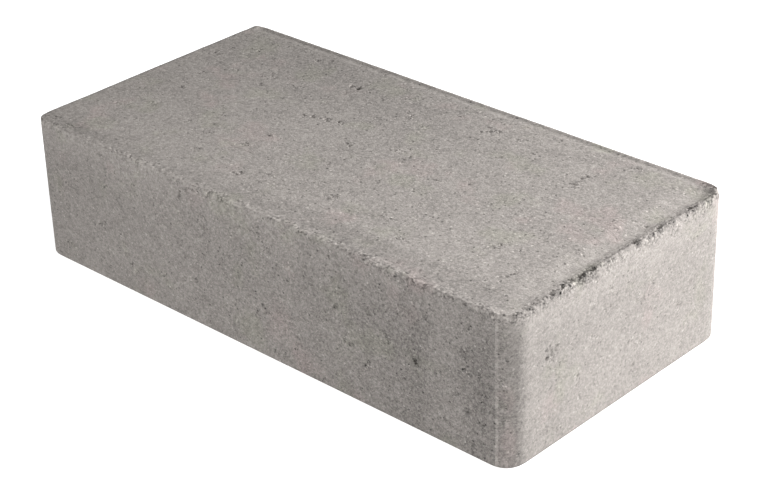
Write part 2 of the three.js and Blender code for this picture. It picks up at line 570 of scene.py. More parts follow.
@dataclass(frozen=True)
class PressedEdge:
    """Section of the rim: bed arris, mould wall, burr and the margin up to the flat wearing face.

    Attributes:
        thickness: Bed face to wearing face.
        bed_arris: Worn edge round the bed face.
        crest_inset: Wall to the burr's crest.
        burr_height: Crest above the wearing face.
        calm_inset: Wall to the rim's round on the sides without a burr.
        calm_drop: How far the rim lies below the wearing face there.
        calm_round: Height of the round there.
        shoulder_drop: Crest down to where the outer shoulder meets the wall.
        lip_width: Crest to the top of the inner side.
        lip_drop: Fall over that lip.
        side_width: Plan width of the inner side.
        foot_rise: Foot of the inner side above the valley.
        skirt_width: Hollow skirt between that foot and the valley.
        margin_width: Valley to the wearing face.
        margin_drop: Valley below the wearing face.
    """

    thickness: float = 51.2
    bed_arris: float = 0.4
    crest_inset: float = 0.9
    burr_height: float = 0.15
    calm_inset: float = 0.45
    calm_drop: float = 0.1
    calm_round: float = 0.8
    shoulder_drop: float = 2.2
    lip_width: float = 0.45
    lip_drop: float = 0.05
    side_width: float = 0.85
    foot_rise: float = 0.9
    skirt_width: float = 4.0
    margin_width: float = 6.0
    margin_drop: float = 0.95

    @property
    def foot_inset(self) -> float:
        """Wall to the foot of the burr's inner side."""
        return self.crest_inset + self.lip_width + self.side_width

    def section(self, wall_step: float, burr_step: float) -> Floats:
        """Points of the section from the bed face's edge to the wearing face's edge.

        Args:
            wall_step: Spacing on the wall and the margin.
            burr_step: Spacing on the burr.

        Returns:
            A row for each point: inset, height, its share in the crest's wander, its share in the foot's,
            and its inset and height where the rim is calm.
        """
        crest = self.thickness + self.burr_height
        lip_height = crest - self.lip_drop
        shoulder = crest - self.shoulder_drop
        foot = self.foot_inset
        valley = foot + self.skirt_width
        low = self.thickness - self.margin_drop

        def shares(length: float, step: float) -> Floats:
            """Even shares from 0 up to just below 1, spaced by about a step along a length."""
            count = max(2, round(length / step))
            return np.arange(count) / count

        def rows(*columns: Floats | float) -> Floats:
            """Rows of a table whose columns are arrays or single numbers."""
            return np.stack(np.broadcast_arrays(*columns), axis=1)

        arris = shares(2 * self.bed_arris, wall_step) * math.pi / 2
        wall = shares(shoulder - self.bed_arris, wall_step)
        bend = shares(self.shoulder_drop + self.crest_inset / 2, burr_step) * math.pi / 2
        lip = shares(self.lip_width, burr_step)
        side = shares(self.side_width, burr_step)
        skirt = shares(self.skirt_width, burr_step)
        margin = shares(self.margin_width, wall_step)
        section = np.concatenate(
            [
                rows(
                    self.bed_arris * (1 - np.sin(arris)),
                    self.bed_arris * (1 - np.cos(arris)),
                    0,
                    0,
                ),
                rows(0 * wall, self.bed_arris + (shoulder - self.bed_arris) * wall, 0, 0),
                rows(
                    self.crest_inset * (1 - np.cos(bend)),
                    crest - self.shoulder_drop * (1 - np.sin(bend)),
                    np.sin(bend),
                    0,
                ),
                rows(self.crest_inset + self.lip_width * lip, crest - self.lip_drop * lip, 1, lip),
                rows(
                    foot - self.side_width * (1 - side),
                    lip_height - (lip_height - low - self.foot_rise) * side,
                    1 - side,
                    1,
                ),
                rows(foot + self.skirt_width * skirt, low + self.foot_rise * (1 - skirt) ** 2, 0, 1 - skirt),
                rows(valley + self.margin_width * margin, low + self.margin_drop * fade(margin, 0, 1), 0, 0),
                rows(valley + self.margin_width, self.thickness, np.zeros(1), 0),
            ]
        )
        softened = (section[:-2] + 2 * section[1:-1] + section[2:]) / 4
        section[1:-1] = np.where(section[1:-1, 1:2] > shoulder - 1, softened, section[1:-1])
        return np.concatenate([section, self._calm(section)], axis=1)

    def _calm(self, section: Floats) -> Floats:
        """Works out where each point of the section lies where no burr was squeezed up.

        Args:
            section: Rows of inset, height and wander shares.

        Returns:
            A row of inset and height for each point.
        """
        inset, height = section[:, 0], section[:, 1]
        shoulder = self.thickness + self.burr_height - self.shoulder_drop
        rim = self.thickness - self.calm_drop
        wall_height = rim - self.calm_round - self.bed_arris
        wall = self.bed_arris + (height - self.bed_arris) * wall_height / (shoulder - self.bed_arris)
        bend = rim - self.calm_round * (1 - (height - shoulder) / self.shoulder_drop)
        outer = np.where(height < self.bed_arris, height, np.where(height < shoulder, wall, bend))
        inner = self.thickness - self.calm_drop * fade(inset, self.foot_inset, self.crest_inset)
        is_outer = np.arange(len(section)) <= np.argmax(height)
        shift = np.clip(inset / self.crest_inset, 0, 1) * (self.crest_inset - self.calm_inset)
        shift = shift * fade(height, self.bed_arris, shoulder)
        shift = shift * fade(inset, self.foot_inset, self.crest_inset)
        return np.stack([inset - shift, np.where(is_outer, outer, inner)], axis=1)


@dataclass(frozen=True)
class BurrSpot:
    """A stretch of the burr that stands higher or lower than the rest.

    Attributes:
        x: Its place in plan.
        y: Its place in plan.
        reach: How far it reaches along the edge.
        rise: How much higher it stands.
        gouge: Depth of the crevice torn behind it.
    """

    x: float
    y: float
    reach: float
    rise: float
    gouge: float = 0.0


@dataclass(frozen=True)
class Wander:
    """One layer of an uneven line.

    Attributes:
        strength: How far it strays.
        size: Typical distance between two swellings.
        shift: Moves on to another stretch of the same noise.
    """

    strength: float
    size: float
    shift: float = 0.0

    def stray(self, noise: SpaceNoise, track: Floats) -> Floats:
        """How far the line strays at each point of its track."""
        return self.strength * noise.smooth(track + self.shift, self.size)


@dataclass(frozen=True)
class BurrReach:
    """Where the burr stands: all of it along +X, less along -Y and none along -X and +Y.

    Attributes:
        outline: The stone's plan.
        merge: Distance to a calm wall less that to a burred one, over which the two rims merge.
        run_on: How much further it runs round the corner at +X and +Y.
        end_reach: Distance inside the +X wall over which the end's burr gives way to the long side's.
        long_share: Share of the full burr on the far part of the long side.
        long_gain: How much more of it there is on the near part.
        long_growth: Where along X it grows.
        end_loss: How much of it is missing on the end's part near -Y.
        loss_growth: Where along Y that part begins.
    """

    outline: PlanOutline
    merge: Span = (-4.0, 7.0)
    run_on: float = 3.0
    end_reach: Span = (3.0, 14.0)
    long_share: float = 0.06
    long_gain: float = 0.30
    long_growth: Span = (-50.0, 60.0)
    end_loss: float = 0.38
    loss_growth: Span = (-20.0, -28.0)

    def share(self, points: Floats) -> Floats:
        """Share of the full burr.

        Args:
            points: Points near the rim.

        Returns:
            One share between 0 and 1 per point.
        """
        x, y = points[:, 0], points[:, 1]
        half_length, half_width = self.outline.length / 2, self.outline.width / 2
        burred = np.minimum(half_length - x, half_width + y)
        calm = np.minimum(half_length + x, half_width - y)
        long_side = self.long_share + self.long_gain * fade(x, *self.long_growth)
        end = 1 - self.end_loss * fade(y, *self.loss_growth)
        present = fade(calm - burred + np.where(y > 0, self.run_on, 0.0), *self.merge)
        return present * (end + fade(half_length - x, *self.end_reach) * (long_side - end))


# The cast surface


class Skin:
    """The plain form's skin, measured at each of its points."""

    def __init__(self, points: Floats, normals: Floats, reach: BurrReach) -> None:
        """Measures the skin.

        Args:
            points: Its points.
            normals: Its outward directions.
            reach: Where the burr stands.
        """
        x, y, self.height = points.T
        half_length, half_width = reach.outline.length / 2, reach.outline.width / 2
        self.points = points
        self.to_end, self.to_left = half_length - x, half_length + x
        self.to_front, self.to_back = half_width + y, half_width - y
        self.inset = reach.outline.inset(points)
        self.wall = fade(abs(normals[:, 2]), 0.75, 0.3)
        self.top = 1 - self.wall
        self.end = fade(abs(normals[:, 0]), 0.6, 0.9)
        self.long_side = fade(abs(normals[:, 1]), 0.9, 0.98)
        self.all = np.ones(len(points))
        self.share = reach.share(points)


class Region(Enum):
    """Part of the skin that a painted band lies on, as the skin names it."""

    ALL = "all"
    TOP = "top"
    WALL = "wall"
    END = "end"


class Measure(Enum):
    """What bounds a painted band, as the skin names it."""

    HEIGHT = "height"
    TO_END = "to_end"
    TO_FRONT = "to_front"
    TO_BACK = "to_back"


@dataclass(frozen=True)
class PaintedLightBand:
    """A band painted lighter or darker; most of these stand in for light and shade.

    Attributes:
        tone: How much lighter it is.
        region: Part of the skin that it lies on.
        fades: The measures that bound it, with where each starts to count and where it counts in full.
        hump: A measure that it follows as a soft hump, with the hump's middle and reach.
    """

    tone: float
    region: Region
    fades: tuple[tuple[Measure, float, float], ...] = ()
    hump: tuple[Measure, float, float] | None = None

    def on(self, skin: Skin) -> Floats:
        """How much lighter the band makes each point of the skin.

        Args:
            skin: The plain form's skin.

        Returns:
            One number per point.
        """
        tone = self.tone * getattr(skin, self.region.value)
        for measure, start, full in self.fades:
            tone = tone * fade(getattr(skin, measure.value), start, full)
        if self.hump:
            measure, middle, reach = self.hump
            tone = tone * hump(getattr(skin, measure.value) - middle, reach)
        return tone


@dataclass(frozen=True)
class CastRelief:
    """How the cast surface departs from its plain form, and what the finish needs to know of it.

    Attributes:
        edge: Section of the stone's rim.
        reach: Where the burr stands.
        seed: Picks the relief's pattern.
    """

    edge: PressedEdge
    reach: BurrReach
    seed: int

    DRAG: ClassVar[Triple] = (1, 1, 0.5)
    SLOW_SWELL: ClassVar[float] = 0.16
    WALL_CALM: ClassVar[float] = 0.1
    SLOW_SIZE: ClassVar[float] = 42
    QUICK_SWELL: ClassVar[float] = 0.04
    QUICK_SIZE: ClassVar[float] = 9
    GRIT: ClassVar[float] = 0.03
    LOOSE_GRIT: ClassVar[float] = 0.06
    GRIT_SIZE: ClassVar[float] = 1.7
    CRUMB_SIZES: ClassVar[Triple] = (2.6, 1.5, 0.8)
    CRUMB_HEIGHTS: ClassVar[Triple] = (0.35, 0.22, 0.38)
    CRUMB_SINK: ClassVar[float] = 0.26
    CREVICE_PLACE: ClassVar[float] = 0.15
    CREVICE_WIDTH: ClassVar[float] = 0.62
    CREASE_PLACE: ClassVar[float] = 0.35
    CREASE_WIDTH: ClassVar[float] = 0.42
    DEEP_GOUGE: ClassVar[float] = 0.3
    DARK_PIT: ClassVar[float] = 0.6
    DARK_CREVICE: ClassVar[float] = 0.8
    CREVICE_SHADE: ClassVar[float] = 0.45
    PAINTED_LIGHT_BANDS: ClassVar[tuple[PaintedLightBand, ...]] = (
        # Painted light: the walls lighter towards the top. They are also darker at mid-height and a little
        # darker overall.
        PaintedLightBand(0.10, Region.WALL, ((Measure.HEIGHT, 38.0, 49.0),)),
        PaintedLightBand(-0.04, Region.WALL, hump=(Measure.HEIGHT, 29.0, 9.0)),
        PaintedLightBand(-0.03, Region.WALL),
        # Painted light: the ends lighter.
        PaintedLightBand(0.05, Region.END),
        # Painted shade along the foot, where the stone meets the floor.
        PaintedLightBand(-0.12, Region.ALL, ((Measure.HEIGHT, 0.7, 0.2),)),
        # Painted light along the back edge of the top.
        PaintedLightBand(0.12, Region.TOP, ((Measure.TO_BACK, 1.3, 0.4),)),
        # Painted light on the margin near +X, where it slopes down towards the end.
        PaintedLightBand(0.12, Region.TOP, ((Measure.TO_END, 8.5, 5.0), (Measure.TO_END, 1.6, 2.6))),
        # Painted light on the shaded inner side of the burr along +X.
        PaintedLightBand(0.10, Region.ALL, ((Measure.HEIGHT, 50.3, 50.9),), (Measure.TO_END, 1.8, 0.7)),
        # Painted shade in two bands on the top's margin along the front, where it slopes away from the
        # light.
        PaintedLightBand(
            -0.08,
            Region.TOP,
            (
                (Measure.TO_FRONT, 3.0, 5.0),
                (Measure.TO_FRONT, 14.0, 11.0),
                (Measure.TO_END, 150.0, 80.0),
            ),
        ),
        PaintedLightBand(-0.10, Region.TOP, ((Measure.TO_FRONT, 1.5, 3.0), (Measure.TO_FRONT, 8.0, 5.0))),
        # Painted light along the front rim, more of it towards -X.
        PaintedLightBand(0.02, Region.ALL, ((Measure.TO_FRONT, 3.5, 1.5), (Measure.HEIGHT, 49.8, 50.6))),
        PaintedLightBand(
            0.03,
            Region.ALL,
            (
                (Measure.TO_END, 85.0, 125.0),
                (Measure.TO_FRONT, 3.5, 1.5),
                (Measure.HEIGHT, 49.8, 50.6),
            ),
        ),
        PaintedLightBand(0.07, Region.ALL, ((Measure.TO_FRONT, 1.1, 0.6), (Measure.HEIGHT, 49.9, 50.7))),
    )
    BLOTCHES_AND_PAINTED_LIGHT: ClassVar[tuple[Blotch, ...]] = (
        # Painted shadow of the burr in the dark wedge at the corner of +X and +Y, partly stain, and a
        # lighter spot on the crest there.
        Blotch((99.8, 49.8, 51.0), (2.7, 2.3, 3.0), tone=-0.48),
        Blotch((103.5, 50.0, 51.6), (1.4, 2.4, 0.7), tone=0.40),
        Blotch((101.6, 47.2, 50.6), (1.6, 2.6, 1.2), tone=-0.34),
        # Painted shade on the near upright corner and on the strip of the front beside it, and painted light
        # on the crown of the burr there.
        Blotch((99.5, -52.5, 22.0), (7.0, 1.6, 60.0), tone=-0.22),
        Blotch((104.4, -48.3, 25.0), (2.6, 2.7, 60.0), tone=-0.22),
        Blotch((103.0, -47.0, 50.8), (2.2, 4.6, 1.6), tone=0.32),
        # Slightly darker on the front half of the end.
        Blotch((105.0, -36.0, 51.0), (2.0, 14.0, 4.0), tone=-0.03),
        Blotch((105.0, -36.0, 25.0), (2.0, 10.0, 60.0), tone=-0.045),
        # Painted shade in the dark pockets along the burr at +X.
        Blotch((102.8, -14.0, 50.6), (2.1, 1.9, 1.8), tone=-0.28),
        Blotch((104.3, -18.8, 50.3), (1.8, 2.4, 1.8), tone=-0.35),
        Blotch((104.0, -33.0, 50.8), (1.2, 1.1, 1.4), tone=-0.2),
        Blotch((102.8, 6.9, 50.8), (1.4, 1.4, 1.6), tone=-0.34),
        Blotch((102.4, 19.3, 50.8), (1.7, 1.5, 1.8), tone=-0.24),
        Blotch((99.4, 18.3, 50.3), (1.0, 1.6, 1.6), tone=-0.14),
        Blotch((102.5, 36.0, 50.8), (1.5, 1.5, 1.6), tone=-0.40),
        # Darker patches on the right half of the front.
        Blotch((91.5, -52.5, 25.0), (5.5, 3.0, 60.0), tone=-0.14),
        Blotch((69.5, -52.5, 25.0), (4.5, 3.0, 60.0), tone=-0.13),
        Blotch((62.0, -52.5, 25.0), (28.0, 3.0, 60.0), tone=-0.10),
        Blotch((52.0, -52.5, 25.0), (14.0, 3.0, 60.0), tone=-0.03),
        Blotch((28.0, -52.5, 25.0), (12.0, 3.0, 60.0), tone=-0.03),
        # Painted light and shade on the top: lighter towards the front left, darker towards the back left.
        Blotch((-60.0, -34.0, 51.0), (55.0, 16.0, 3.0), tone=0.07),
        Blotch((-40.0, 38.0, 51.0), (70.0, 20.0, 3.0), tone=-0.14),
        # Painted shade on the top just behind the front rim near -X.
        Blotch((-88.0, -48.5, 51.0), (9.0, 2.0, 3.0), tone=-0.09),
        Blotch((103.5, -50.5, 22.0), (2.6, 3.0, 22.0), warmth=1.2),
        Blotch((-8.0, -50.0, 51.0), (7.0, 3.0, 4.0), warmth=1.0),
        Blotch((-27.0, -52.5, 47.0), (8.0, 3.0, 3.5), warmth=0.7),
        Blotch((-66.0, -52.5, 45.0), (5.0, 3.0, 4.0), warmth=1.2),
        Blotch((-47.0, -52.5, 50.0), (6.0, 3.0, 3.0), warmth=0.7),
        Blotch((26.0, -36.0, 51.0), (9.0, 6.0, 3.0), warmth=0.8),
        Blotch((13.0, -8.0, 51.0), (6.0, 10.0, 3.0), warmth=0.7),
        Blotch((0.0, 44.0, 51.0), (12.0, 6.0, 3.0), warmth=0.7),
        Blotch((88.0, 10.0, 51.0), (12.0, 30.0, 3.0), warmth=0.7),
        Blotch((105.0, -30.0, 26.0), (4.0, 12.0, 16.0), warmth=0.6),
    )

    @property
    def noise(self) -> SpaceNoise:
        """The noise that most of the relief follows."""
        return SpaceNoise(self.seed + 1)

    def apply(
        self, points: Floats, normals: Floats, gouges: Floats
    ) -> tuple[Floats, dict[str, Floats]]:
        """Works out the whole relief.

        Args:
            points: Points of the plain mesh.
            normals: Its outward directions.
            gouges: Depth of the crevice behind the burr at each point.

        Returns:
            The height to add along each direction, and the marks that the finish reads at each point: how
            deep it lies in a pit, which paints shade into pits and the crevice, how open the skin is, how
            much it belongs to the burr, the painted shade in a trough between crumbs and in the crease
            behind the burr, the painted highlight and shade on the burr's crest, where the rim is crumbled,
            the smooth part of the stone and a mould wall, its tone with its painted light and shade, and its
            warmth.
        """
        skin = Skin(points, normals, self.reach)
        burr = self._burr(skin)
        crumbled = self._crumbled(skin)
        crumbs = self._crumbs(points, crumbled)
        crevice = self._crevice(skin, gouges)
        outline = self.reach.outline
        half_size = (outline.length / 2, outline.width / 2, self.edge.thickness)
        depth, opened = PitField(half_size).hollows(points)
        total = self._swell(skin) + self._grit(skin) + self._seams(skin)
        total = total + np.maximum(burr, crumbled) * crumbs
        total = total - crevice - depth + self._calm_rims(skin)
        marks = {
            # Painted shade: pits and the crevice behind the burr are darkened by their depth.
            "pit": np.clip(depth / self.DARK_PIT, 0, 1)
            + np.clip(crevice / self.DARK_CREVICE, 0, 1) * self.CREVICE_SHADE,
            "open": opened,
            "burr": burr,
            # Painted shade in the troughs between the burr's crumbs.
            "trough_shade": burr * fade(crumbs, -0.02, -0.3),
            # Painted shade in the crease behind the burr.
            "crease_shade": self._crease_shade(skin, gouges, burr),
            # Painted highlight on the burr's crest and painted shade on the end's outer shoulder.
            "crest": self._crest_light_and_shade(skin),
            "crumbled": crumbled,
            "smooth": 0.28 * skin.end + 0.22 * fade(points[:, 0], 0.0, -80.0),
            "wall": skin.wall,
            # Tone with painted light and shade: the painted bands, and the blotches, some of them the
            # concrete's own tone and some painted light and shade.
            "tone": self._blotched([blotch.tone for blotch in self.BLOTCHES_AND_PAINTED_LIGHT], points)
            + sum(band.on(skin) for band in self.PAINTED_LIGHT_BANDS),
            "warmth": self._blotched([blotch.warmth for blotch in self.BLOTCHES_AND_PAINTED_LIGHT], points),
        }
        return total * fade(skin.height, 0.0, 1.0), marks

    def _swell(self, skin: Skin) -> Floats:
        """Slow swells of the faces, drawn out upwards on the walls.

        Args:
            skin: The plain form's skin.

        Returns:
            Height to add at each point.
        """
        dragged = skin.points * np.where(skin.wall[:, None] > 0.5, self.DRAG, (1, 1, 1))
        strength = self.SLOW_SWELL - self.WALL_CALM * skin.wall
        slow = strength * self.noise.layered(skin.points, self.SLOW_SIZE, 2)
        return slow + self.QUICK_SWELL * self.noise.smooth(dragged, self.QUICK_SIZE)

    def _grit(self, skin: Skin) -> Floats:
        """Grains of sand that stand out, more of them in some places than in others.

        Args:
            skin: The plain form's skin.

        Returns:
            Height to add at each point.
        """
        loose = fade(self.noise.smooth(skin.points + 200, 24), -0.5, 0.8)
        strength = (self.GRIT + self.LOOSE_GRIT * loose) * (1 - 0.7 * skin.wall)
        return strength * self.noise.domes(skin.points, self.GRIT_SIZE)

    def _burr(self, skin: Skin) -> Floats:
        """How much each point belongs to the burr.

        Args:
            skin: The plain form's skin.

        Returns:
            One number between 0 and 1 per point.
        """
        thickness, foot = self.edge.thickness, self.edge.foot_inset
        burr = fade(skin.height, thickness - 4.5, thickness - 1.0) * fade(skin.inset, foot + 1.6, foot - 0.6)
        return burr * skin.share

    def _crumbled(self, skin: Skin) -> Floats:
        """How crumbled the rim is at each point, further down the wall where the burr is fuller.

        Args:
            skin: The plain form's skin.

        Returns:
            One number between 0 and 1 per point.
        """
        thickness, foot = self.edge.thickness, self.edge.foot_inset
        crumbled = fade(skin.height, thickness - 2.8 - 2.4 * skin.share, thickness - 1.2)
        return crumbled * (fade(skin.inset, foot + 2.4, foot - 0.4) * skin.share**0.2)

    def _crumbs(self, points: Floats, crumbled: Floats) -> Floats:
        """Height of the crumbs, in three sizes, where the rim is crumbled.

        Args:
            points: Points of the plain mesh.
            crumbled: How crumbled the rim is at each.

        Returns:
            Height at each point.
        """
        crumbs = np.zeros(len(points))
        here = np.flatnonzero(crumbled > 0.01)
        rim = points[here]
        large, middle, small = self.CRUMB_HEIGHTS
        large_size, middle_size, small_size = self.CRUMB_SIZES
        broken = 0.35 + 0.65 * fade(self.noise.smooth(rim + 400, 7), -0.25, 0.45)
        lumps = large * self.noise.layered(rim + 100, large_size, 2)
        lumps = lumps + middle * self.noise.domes(rim, middle_size)
        grains = small * SpaceNoise(self.seed + 2).domes(rim, small_size)
        crumbs[here] = broken * (lumps + grains - self.CRUMB_SINK)
        return crumbs

    def _crevice(self, skin: Skin, gouges: Floats) -> Floats:
        """Depth of the crevice along the foot of the burr's inner side.

        Args:
            skin: The plain form's skin.
            gouges: Depth of the crevice behind the burr at each point.

        Returns:
            Depth at each point.
        """
        away = skin.inset - self.edge.foot_inset + self.CREVICE_PLACE
        foot = hump(away, self.CREVICE_WIDTH) * fade(skin.height, 48.5, 49.5)
        return gouges * foot * np.clip(0.8 + 0.9 * self.noise.smooth(skin.points, 2.2), 0, 2)

    def _crease_shade(self, skin: Skin, gouges: Floats, burr: Floats) -> Floats:
        """How much painted shade each point gets in the crease behind the burr.

        Args:
            skin: The plain form's skin.
            gouges: Depth of the crevice behind the burr at each point.
            burr: How much each point belongs to the burr.

        Returns:
            One number between 0 and 1 per point.
        """
        away = skin.inset - self.edge.foot_inset + self.CREASE_PLACE
        crease_shade = hump(away, self.CREASE_WIDTH) * fade(skin.height, 49.5, 50.3) * burr
        return crease_shade * np.clip(gouges / self.DEEP_GOUGE, 0.15, 1)

    def _crest_light_and_shade(self, skin: Skin) -> Floats:
        """How much painted highlight each point gets on the burr's crest; below 0 on the end's outer
        shoulder, where it gets painted shade.

        Args:
            skin: The plain form's skin.

        Returns:
            One number per point.
        """
        crest = fade(skin.inset, 2.0, 1.1) * fade(skin.height, 49.4, 50.6)
        outer = -1.7 * fade(skin.height, 49.2, 50.2) * fade(skin.height, 51.4, 50.9)
        crest *= np.where(skin.to_end < skin.to_front, outer, np.maximum(1.9 * skin.share, 0.7))
        return crest * fade(skin.share, 0.0, 0.05)

    def _blotched(self, strengths: list[float], points: Floats) -> Floats:
        """Adds up what the blotches do to the tone or the warmth.

        Args:
            strengths: How far each blotch changes it.
            points: Points of the plain mesh.

        Returns:
            One number per point.
        """
        return sum(
            strength * np.exp(-(((points - blotch.middle) / blotch.reach) ** 2).sum(axis=1))
            for strength, blotch in zip(strengths, self.BLOTCHES_AND_PAINTED_LIGHT)
        )

    def _calm_rims(self, skin: Skin) -> Floats:
        """Works out how the two rims without a burr depart from flat.

        There is a faint valley behind +Y, a worn edge at -X and a lump on the corner between them.

        Args:
            skin: The plain form's skin.

        Returns:
            Height to add at each point.
        """
        behind, left = skin.to_back, skin.to_left
        high = fade(skin.height, self.edge.thickness - 1.4, self.edge.thickness - 0.5)
        valley = -0.30 * fade(behind, 4.8, 2.4) * fade(behind, 0.7, 1.9) + 0.16 * fade(behind, 1.8, 0.6)
        worn = -0.32 * fade(left, 1.9, 0.3)
        lump = 0.9 * np.exp(-(((left - 2.2) / 1.7) ** 2) - ((behind - 1.85) / 1.7) ** 2)
        bent = np.where(left < 3.8, np.minimum(valley, worn), valley + worn)
        return (1 - skin.share) * high * (lump + bent)

    def _seams(self, skin: Skin) -> Floats:
        """Upright ridges on the long sides, where the mould's plates meet and where one is worn.

        Args:
            skin: The plain form's skin.

        Returns:
            Height of the ridges at each point.
        """
        across = -np.sign(skin.points[:, 1]) * skin.points[:, 0]
        broken = 0.75 + 0.35 * SpaceNoise(self.seed + 4).smooth(skin.points * self.DRAG, 3)
        plate = 0.24 * hump(across - 100.0, 0.42) * broken
        worn = 0.12 * hump(across - 73.6, 1.6)
        return (plate + worn) * skin.long_side


# The stone's mesh


@dataclass(frozen=True)
class StoneBody:
    """The whole stone as one closed mesh with its relief.

    Attributes:
        outline: Its plan.
        edge: Section of its rim.
        seed: Picks the relief's pattern.
        triangles: Most triangles that the finished mesh may have.
        wall_step: Mesh spacing on the faces before thinning.
        burr_step: Mesh spacing across the burr.
    """

    outline: PlanOutline = PlanOutline()
    edge: PressedEdge = PressedEdge()
    seed: int = 7
    triangles: int = 192000
    wall_step: float = 0.5
    burr_step: float = 0.28

    NAME: ClassVar[str] = "paving_stone_body"
    CORNER_SHARE: ClassVar[float] = 2.4
    CREST_WANDER: ClassVar[tuple[Wander, ...]] = (
        Wander(0.16, 17),
        Wander(0.14, 5, 300),
        Wander(0.1, 1.9),
    )
    FOOT_WANDER: ClassVar[tuple[Wander, ...]] = (Wander(0.35, 13, 900), Wander(0.3, 3.5, 500))
    LEAST_GOUGE: ClassVar[float] = 0.05
    BURR_SPOTS: ClassVar[tuple[BurrSpot, ...]] = (
        BurrSpot(103.3, 50.3, 2.2, 0.5, 0.4),
        BurrSpot(105, 40.5, 2.5, 0.15, 0.1),
        BurrSpot(105, 35.0, 1.4, -0.5, 0.7),
        BurrSpot(105, 31.0, 4.0, 0.1, 0.22),
        BurrSpot(105, 24.5, 4.0, 0.1, 0.22),
        BurrSpot(105, 18.5, 1.3, -0.2, 0.3),
        BurrSpot(105, 13.0, 4.0, -0.4),
        BurrSpot(105, 6.5, 1.5, -0.5, 0.75),
        BurrSpot(105, 1.5, 4.0, 0.15, 0.22),
        BurrSpot(105, -5.5, 4.0, 0.1, 0.22),
        BurrSpot(105, -11.0, 1.2, 0.2),
        BurrSpot(105, -14.3, 1.3, -0.5, 1.0),
        BurrSpot(105, -19.2, 1.8, -0.5, 0.7),
        BurrSpot(105, -23.5, 1.0, -0.3, 0.05),
        BurrSpot(105, -28.3, 1.0, -0.25, 0.3),
        BurrSpot(105, -32.8, 1.1, -0.3, 0.4),
        BurrSpot(105, -37.0, 2.0, 0.2),
        BurrSpot(105, -41.5, 1.1, -0.1, 0.15),
        BurrSpot(105, -46.0, 2.0, -0.2),
        BurrSpot(96, -52.5, 5.0, 0.25, 0.1),
        BurrSpot(70, -52.5, 8.0, 0.1),
        BurrSpot(20, -52.5, 14.0, 0.1),
        BurrSpot(-30, -52.5, 12.0, -0.15),
        BurrSpot(-55, -52.5, 10.0, -0.1),
        BurrSpot(-97, -52.5, 5.0, 0.2, 0.3),
    )

    @property
    def reach(self) -> BurrReach:
        """Where the burr stands."""
        return BurrReach(self.outline)

    def steps(self) -> tuple[int, int, int]:
        """Numbers of mesh steps along a short side, along a long side and round a corner.

        Returns:
            The three numbers.
        """
        plan = self.outline
        short = round((plan.width - 2 * plan.corner_run_short) / self.wall_step)
        long = round((plan.length - 2 * plan.corner_run_long) / self.wall_step)
        corner = (plan.corner_run_long + plan.corner_run_short) / self.CORNER_SHARE
        return short, long, 2 * round(corner / self.wall_step)

    def _rim(self) -> tuple[Floats, Floats]:
        """Works out the rings of the rim.

        Returns:
            The rings' points, and how deep the crevice behind the burr is at each step round the outline.
        """
        steps = self.steps()
        around = 2 * sum(steps[:2]) + 4 * steps[2]
        track = np.zeros((around, 3))
        track[:, :2] = self.outline.rings(np.zeros((1, around)), steps)[0]
        noise = SpaceNoise(self.seed)
        rise = sum(layer.stray(noise, track) for layer in self.CREST_WANDER)
        creep = sum(layer.stray(noise, track) for layer in self.FOOT_WANDER)
        gouge = self.LEAST_GOUGE * fade(noise.smooth(track + 700, 9), -0.2, 0.6)
        for spot in self.BURR_SPOTS:
            away = (track[:, 0] - spot.x) ** 2 + (track[:, 1] - spot.y) ** 2
            near = np.exp(-(away / spot.reach**2))
            rise += spot.rise * near
            gouge += spot.gouge * near
        strength = self.reach.share(track)
        section = self.edge.section(self.wall_step, self.burr_step)
        inset, height, crest_share, foot_share, calm_inset, calm_height = section.T[:, :, None]
        insets = calm_inset + (inset - calm_inset + creep * foot_share) * strength
        rings = self.outline.rings(insets, steps)
        heights = calm_height + (height - calm_height + rise * crest_share) * strength
        return np.concatenate([rings, heights[..., None]], axis=2), gouge * strength

    def _cap(self, ring: Ints, points: Floats) -> tuple[Ints, Floats]:
        """Fills a flat ring with a grid that meets it point for point.

        Args:
            ring: Indices of the ring's points, anticlockwise from the corner at +X and -Y.
            points: All points so far.

        Returns:
            Indices of the grid, row by row from -Y, and the points that it adds.
        """
        steps = self.steps()
        rows, columns = steps[0] + steps[2], steps[1] + steps[2]
        grid = np.zeros((rows + 1, columns + 1), dtype=np.int64)
        grid[:, -1] = ring[: rows + 1]
        grid[-1] = ring[rows : rows + columns + 1][::-1]
        grid[:, 0] = ring[rows + columns : 2 * rows + columns + 1][::-1]
        grid[0, :-1] = ring[2 * rows + columns :]
        u = (np.arange(1, columns) / columns)[None, :, None]
        v = (np.arange(1, rows) / rows)[:, None, None]
        borders = (grid[0], grid[-1], grid[:, 0], grid[:, -1])
        low, high, left, right = (points[line] for line in borders)
        between_rows = (1 - v) * low[None, 1:-1] + v * high[None, 1:-1]
        between_columns = (1 - u) * left[1:-1, None] + u * right[1:-1, None]
        low_corners = (1 - u) * low[0] + u * low[-1]
        high_corners = (1 - u) * high[0] + u * high[-1]
        corners = (1 - v) * low_corners + v * high_corners
        inner = (between_rows + between_columns - corners).reshape(-1, 3)
        grid[1:-1, 1:-1] = len(points) + np.arange(len(inner)).reshape(rows - 1, columns - 1)
        return grid, inner

